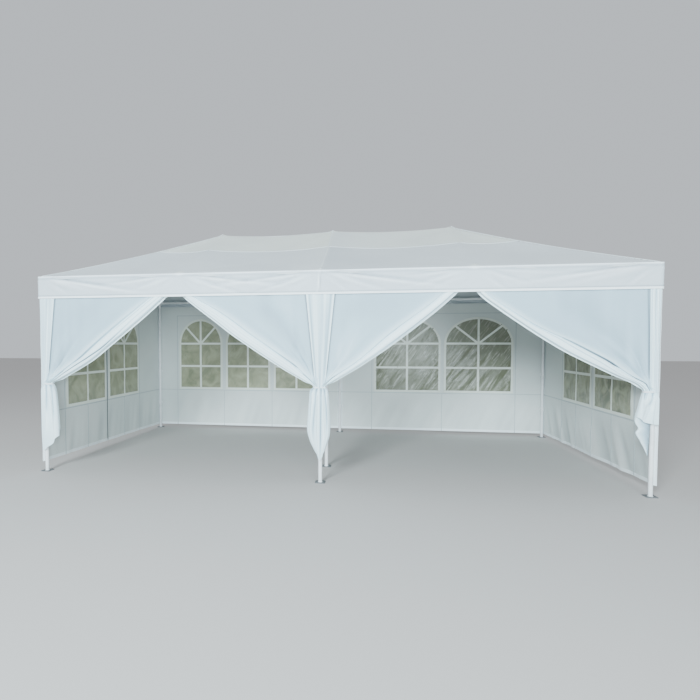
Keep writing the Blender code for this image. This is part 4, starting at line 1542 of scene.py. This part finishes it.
def hanging_point(shape, column, down):
    """Where a column is above the tie: its distance from the leg and its depth."""
    edge = along_table(shape["edge"], down)
    strip = min(blend(shape["strip"], STRIP_AT_TIE, down), edge * 0.6)
    band = min(along_table(shape["band"], down), (edge - strip) * 0.8)
    fold = edge - band
    roll_start = fold + band * VALLEY_SHARE
    front_edge = edge - min(HEM_SHOWS * smooth(0, 0.12, down), band * 0.3)
    swell = SWELL_RISE * smooth(0, 0.25, down)
    if column <= STRIP_COLUMNS:
        return blend(shape["start"], strip, column / STRIP_COLUMNS), 0.0
    if column <= field_end:
        share = (column - STRIP_COLUMNS) / FIELD_COLUMNS
        share = (share + smooth(0, 1, share)) / 2
        reach = blend(strip, fold, share)
        swelling = swell * bell(fold - reach, SWELL_WIDTH) * smooth(0, 0.3, share)
        return reach, field_depth(shape["seed"], share, reach, down) + swelling
    if column <= crease_end:
        share = (column - field_end) / CREASE_COLUMNS
        deep = VALLEY_DEPTH * along_table(shape["crease"], down) * smooth(0, 0.1, down)
        return blend(fold, roll_start, share), swell * (1 - share) - deep * math.sin(math.pi * share)
    if column <= front_columns:
        share = (column - crease_end) / ROLL_COLUMNS
        vary = 0.8 + 0.5 * wobble(down * 2.5, shape["seed"], 6.0)
        depth = ROLL_DEPTH * math.sin(math.pi * share ** 0.9) ** 0.7 * vary
        depth -= GROOVE_DEPTH * grooves(shape, share, down)
        return blend(roll_start, front_edge, share), depth * smooth(0, 0.2, down)
    inner = max(strip, front_edge - LAYER_REACH)
    return layer_point(column - front_columns, front_edge, edge, inner, 0)


def tail_relief(shape, share, below):
    """Sharp creases that run down a tail from the tie: above 0 on a ridge, below 0 in a valley."""
    drift = 0.06 * wobble(share * 2.5, below * 2.6, shape["seed"] + 20)
    relief = 0.0
    for place, length, height, lean in shape["tail_creases"]:
        aside = share + drift - place - lean * below
        line = math.exp(-abs(aside) / 0.05) * (1 - smooth(0.6 * length, length, below))
        relief += height * line
    return relief


def bundle_point(shape, column, height):
    """Where a column is in the bundle at the tie, or in the tail that hangs under it."""
    width = along_table(shape["tail"], height)
    below = tie_height - height
    seed = shape["seed"]
    if column > front_columns:
        front_edge = max(width - 0.004, LEG_CLEAR)
        inner = min(LEG_CLEAR, front_edge)
        return layer_point(column - front_columns, front_edge, front_edge, inner, -BUNDLE_SET)
    share = column / front_columns
    spread = share + 0.05 * math.sin(4 * math.pi * share) * smooth(0, 0.2, below)
    reach = blend(shape["start"], width, spread)
    round_off = math.sqrt(max(0.0, 1 - (max(0.0, reach) / width) ** 2.4))
    bulge = blend(BUNDLE_BULGE, TAIL_BULGE, smooth(0, 0.07, below))
    depth = bulge * blend(0.75, 1, smooth(0.2, 0.45, height)) * round_off - BUNDLE_SET
    turn = 3.3 * shape["folds"] * share + wobble(share * 3, seed, 1.0)
    pleats = PLEAT_DEPTH * math.cos(2 * math.pi * turn)
    folds = TAIL_FOLD_DEPTH * wobble(share * 4, below * 1.5, seed + 31)
    folds += TAIL_CREASE_DEPTH * tail_relief(shape, share, below)
    inside = smooth(0, 0.08, share) * smooth(1, 0.9, share)
    depth += inside * blend(pleats, folds, smooth(0, 0.10, below))
    return reach, max(depth, 0.001) if abs(reach) < LEG_CLEAR else depth


def curtain_hem(shape, column):
    """The height at which a column ends."""
    if column <= front_columns:
        return along_table(shape["hem"], column / front_columns)
    share = (column - front_columns) / (curtain_columns - front_columns)
    return blend(shape["hem"][-1][1], along_table(shape["behind"], share), smooth(0, 0.2, share))


# The cloth's marks on the parts of a curtain. They are painted light and shade on the field's pulls
# and swelling, beside the strip, at the top under the valance, in the crease, in the grooves and the
# line before the hem, and on the tail's creases, its top and its hidden layers. The folded edge, the
# field gathered near the tie and the tail are marked whiter, partly for the doubled cloth and partly
# as painted light.
FIELD_MARK = 0.47
PULL_LIGHT = 14  # for every metre that a pull stands out
SWELL_LIGHT = 0.20
BESIDE_STRIP_SHADE = 0.40
UNDER_RAIL_SHADE = 0.12
TIED_FIELD_MARK = 0.70
VALLEY_MARKS = (0.72, 0.95)  # on its two sides
VALLEY_SHADE = 0.72
GROOVE_SHADE = 0.95
HEM_LINE = 0.95  # the place of the painted shadow line before the hem, across the folded edge
HEM_LINE_SHADE = 0.60
HIDDEN_MARK = 0.8
TAIL_MARK = 0.86
TAIL_CREASE_LIGHT = 0.55
TAIL_TOP_SHADE = 0.12
TAIL_LAYER_MARK = 0.95
TAIL_LAYER_SHADE = 0.75
TAIL_DROP = 0.6  # about how long a tail is


def field_mark(shape, column, down):
    reach, depth = hanging_point(shape, column, down)
    fold = hanging_point(shape, field_end, down)[0]
    strip = hanging_point(shape, STRIP_COLUMNS, down)[0]
    pulls = PULL_LIGHT * depth * blend(0.5, 1, smooth(0.35, 0.9, down))
    value = FIELD_MARK - BESIDE_STRIP_SHADE * bell(reach - strip - 0.009, 0.008)
    value += SWELL_LIGHT * bell(fold - reach, SWELL_WIDTH) * smooth(0, 0.3, down)
    value += pulls - UNDER_RAIL_SHADE * smooth(0.16, 0.03, down)
    return blend(value, TIED_FIELD_MARK + pulls, smooth(0.80, 1, down) * smooth(0, 12, column))


def tail_mark(shape, column, down):
    """The mark of the tail, a share of the way down it."""
    if column > front_columns:
        layer, place_in = divmod(column - front_columns - 1, TURN_COLUMNS + LAYER_COLUMNS)
        inner = max(0, place_in + 1 - TURN_COLUMNS) / LAYER_COLUMNS
        return TAIL_LAYER_MARK - TAIL_LAYER_SHADE * (inner if layer % 2 == 0 else 1 - inner)
    below = down * TAIL_DROP
    light = TAIL_CREASE_LIGHT * tail_relief(shape, column / front_columns, below)
    return TAIL_MARK + light - TAIL_TOP_SHADE * smooth(0.1, 0, below)


def curtain_mark(shape, column, row):
    if row > HANGING_ROWS:
        return tail_mark(shape, column, (row - HANGING_ROWS) / TAIL_ROWS)
    down = row / HANGING_ROWS
    if column <= field_end:
        return field_mark(shape, column, down)
    if column < crease_end:
        sharp = min(1.3, along_table(shape["crease"], down))
        middle = (field_end + crease_end) / 2
        valley = sharp * bell(column - middle, 1.2 + 0.9 * sharp)
        return blend(*VALLEY_MARKS, (column - field_end) / CREASE_COLUMNS) - VALLEY_SHADE * valley
    if column <= front_columns:
        share = (column - crease_end) / ROLL_COLUMNS
        hem_line = HEM_LINE_SHADE * bell(share - HEM_LINE, 0.04)
        return 1.0 - GROOVE_SHADE * grooves(shape, share, down) - hem_line
    return 1.0 if column >= curtain_columns - 1 else HIDDEN_MARK


def curtain_sheet(name, shape):
    def place(across, up):
        column = round(across * curtain_columns)
        row = round((1 - up) * curtain_rows)
        if row <= HANGING_ROWS:
            down = row / HANGING_ROWS
            height = blend(curtain_top, tie_height, down)
            reach, depth = hanging_point(shape, column, down)
            tied_reach, tied_depth = bundle_point(shape, column, tie_height)
            reach = blend(reach, tied_reach, smooth(1 - CLOSING, 1, down))
            depth = blend(depth, tied_depth, smooth(1 - PLEATING, 1, down) ** 1.6)
        else:
            down = (row - HANGING_ROWS) / TAIL_ROWS
            height = blend(tie_height, curtain_hem(shape, column), down)
            reach, depth = bundle_point(shape, column, height)
        return Vector((shape["leg"] + shape["reach"] * reach, curtain_plane - depth, height))

    def mark(across, up):
        return curtain_mark(shape, round(across * curtain_columns), (1 - up) * curtain_rows)

    return shaped_sheet(name, curtain_columns, curtain_rows, place, CURTAIN_THICKNESS, mark)


# The curtains' own colour is painted darker and bluer than the same cloth on the walls, as painted
# shade. The whiter colour is partly for doubled cloth and partly painted light, and the crease colour
# is painted shade.
CURTAIN_COLOUR = (0.405, 0.56, 0.645, 1)
DOUBLED_AND_LIT_WHITE = (0.82, 0.97, 1.0, 1)
CREASE_SHADE = (0.08, 0.11, 0.14, 1)
curtain_cloth = cloth_finish("curtain cloth", CURTAIN_COLOUR, "XZ", DOUBLED_AND_LIT_WHITE, CREASE_SHADE)
for name, shape in curtains.items():
    piece = curtain_sheet(f"curtain_cloth_{name}", shape)
    finish(piece, curtain_cloth, "wall_cloth", *shape["nodes"])

# Strips before the legs
# A strip of the same cloth is sewn over the curtains before each front leg, between two welts. It
# narrows to the tie and has soft folds down its length.
STRIP_LIFT = 0.0035  # before the curtains
STRIP_FIELD_LIFT = 0.003  # of what lies between the welts
STRIP_FOLD = 0.0035
STRIP_PAST_TIE = 0.004  # how much wider than the curtains' part it is at the tie
STRIP_TIED_DEPTH = 0.020
STRIP_ROWS = 60
STRIP_ACROSS = 26
WELT_RISE = 0.0028
NO_WELT = 9  # columns from the edge, more than any welt is wide
# The strip is marked whitest on its welts and less white between them, partly for the doubled cloth
# and partly as painted light; its folds get painted light and shade, and a painted shadow line runs
# just inside each welt.
STRIP_SHADE = 0.26
STRIP_FOLD_LIGHT = 0.45
WELT_LINE_SHADE = 0.10

strips = {
    "left": {"leg": -leg_x, "reach": 1, "start": -0.030, "tied": -0.018, "top": 0.149, "seed": 5.0},
    "middle": {"leg": 0.0, "reach": 1, "start": None, "top": 0.149, "seed": 15.0},
    "right": {"leg": leg_x, "reach": -1, "start": -0.030, "tied": -0.024, "top": 0.062, "seed": 25.0},
}


def strip_folds(shape, across, down):
    """The soft folds down a strip, from about -1 in a valley to 1 on a ridge."""
    folds = wobble(across * 5, down * 0.8, shape["seed"])
    return folds + 0.6 * wobble(across * 13, down * 1.2, shape["seed"] + 3)


def from_welt(shape, across):
    """How many columns a place is from the nearer welt. Only the middle strip has two that show."""
    column = across * STRIP_ACROSS
    return min(column if shape["start"] is None else NO_WELT, STRIP_ACROSS - column)


def strip_sheet(name, shape):
    def place(across, up):
        down = 1 - up
        end = blend(shape["top"], STRIP_AT_TIE + STRIP_PAST_TIE, down ** 1.05)
        start = -end if shape["start"] is None else blend(shape["start"], shape["tied"], down)
        reach = blend(start, end, across)
        columns = from_welt(shape, across)
        inside = smooth(2.0, 4.0, columns)
        folds = STRIP_FOLD * strip_folds(shape, across, down) * (1 + down)
        depth = STRIP_LIFT + (STRIP_FIELD_LIFT + folds) * inside
        depth += WELT_RISE * smooth(2.2, 0.8, columns)
        tied = STRIP_TIED_DEPTH - 0.35 * max(0.0, abs(reach) - 0.012)
        depth = blend(depth, tied, smooth(0.86, 1, down) ** 1.5)
        height = blend(curtain_top, tie_height - 0.004, down)
        return Vector((shape["leg"] + shape["reach"] * reach, curtain_plane - depth, height))

    def mark(across, up):
        columns = from_welt(shape, across)
        field = STRIP_SHADE - STRIP_FOLD_LIGHT * strip_folds(shape, across, 1 - up)
        return 1.0 - field * smooth(0.8, 2.4, columns) - WELT_LINE_SHADE * bell(columns - 3, 0.7)

    return shaped_sheet(name, STRIP_ACROSS, STRIP_ROWS, place, CURTAIN_THICKNESS, mark)


for name, shape in strips.items():
    piece = strip_sheet(f"leg_strip_{name}", shape)
    finish(piece, curtain_cloth, "wall_cloth")
    width = 2 * shape["top"] if shape["start"] is None else shape["top"] - shape["start"]

# Curtain ties
# A narrow strap of white tape goes around the leg and the gathered cloth and pinches it.
STRAP_HEIGHT = 0.014
STRAP_THICKNESS = 0.0016
STRAP_STEPS = 72
STRAP_FRONT = 0.019  # before the curtains
STRAP_BACK = 0.024  # behind the leg's axis
STRAP_SQUARENESS = 2.6  # 2 is an ellipse, and more is squarer
STRAP_PUCKER = 0.012  # a share of its width
STRAP_WANDER = 0.003  # up and down
strap_tape = plain_finish("strap tape", (0.82, 0.85, 0.88, 1), 0.6)[0]


def strap_ring(name, leg, low_reach, high_reach):
    """A flat ring of tape around the leg and the cloth, from one reach to the other."""
    front = curtain_plane - STRAP_FRONT
    back = STRAP_BACK - leg_y
    middle = Vector((leg + (low_reach + high_reach) / 2, (front + back) / 2))
    half_width = (high_reach - low_reach) / 2
    half_depth = (back - front) / 2

    def place(around_share, up):
        angle = 2 * math.pi * around_share
        cosine, sine = math.cos(angle), math.sin(angle)
        power = abs(cosine) ** STRAP_SQUARENESS + abs(sine) ** STRAP_SQUARENESS
        pucker = wobble(cosine * 6, sine * 6, up * 2 + leg)
        size = power ** (-1 / STRAP_SQUARENESS) * (1 + STRAP_PUCKER * pucker)
        wander = STRAP_WANDER * wobble(cosine * 2, sine * 2, 7 + leg)
        height = tie_height + (up - 0.5) * STRAP_HEIGHT + wander
        return Vector((middle.x + half_width * cosine * size,
                       middle.y + half_depth * sine * size, height))

    finish(shaped_sheet(name, STRAP_STEPS, 2, place, STRAP_THICKNESS), strap_tape, "wall_cloth")


strap_ring("curtain_strap_left", -leg_x, -0.022, 0.097)
strap_ring("curtain_strap_middle", 0.0, -0.070, 0.058)
strap_ring("curtain_strap_right", leg_x, -0.090, 0.027)
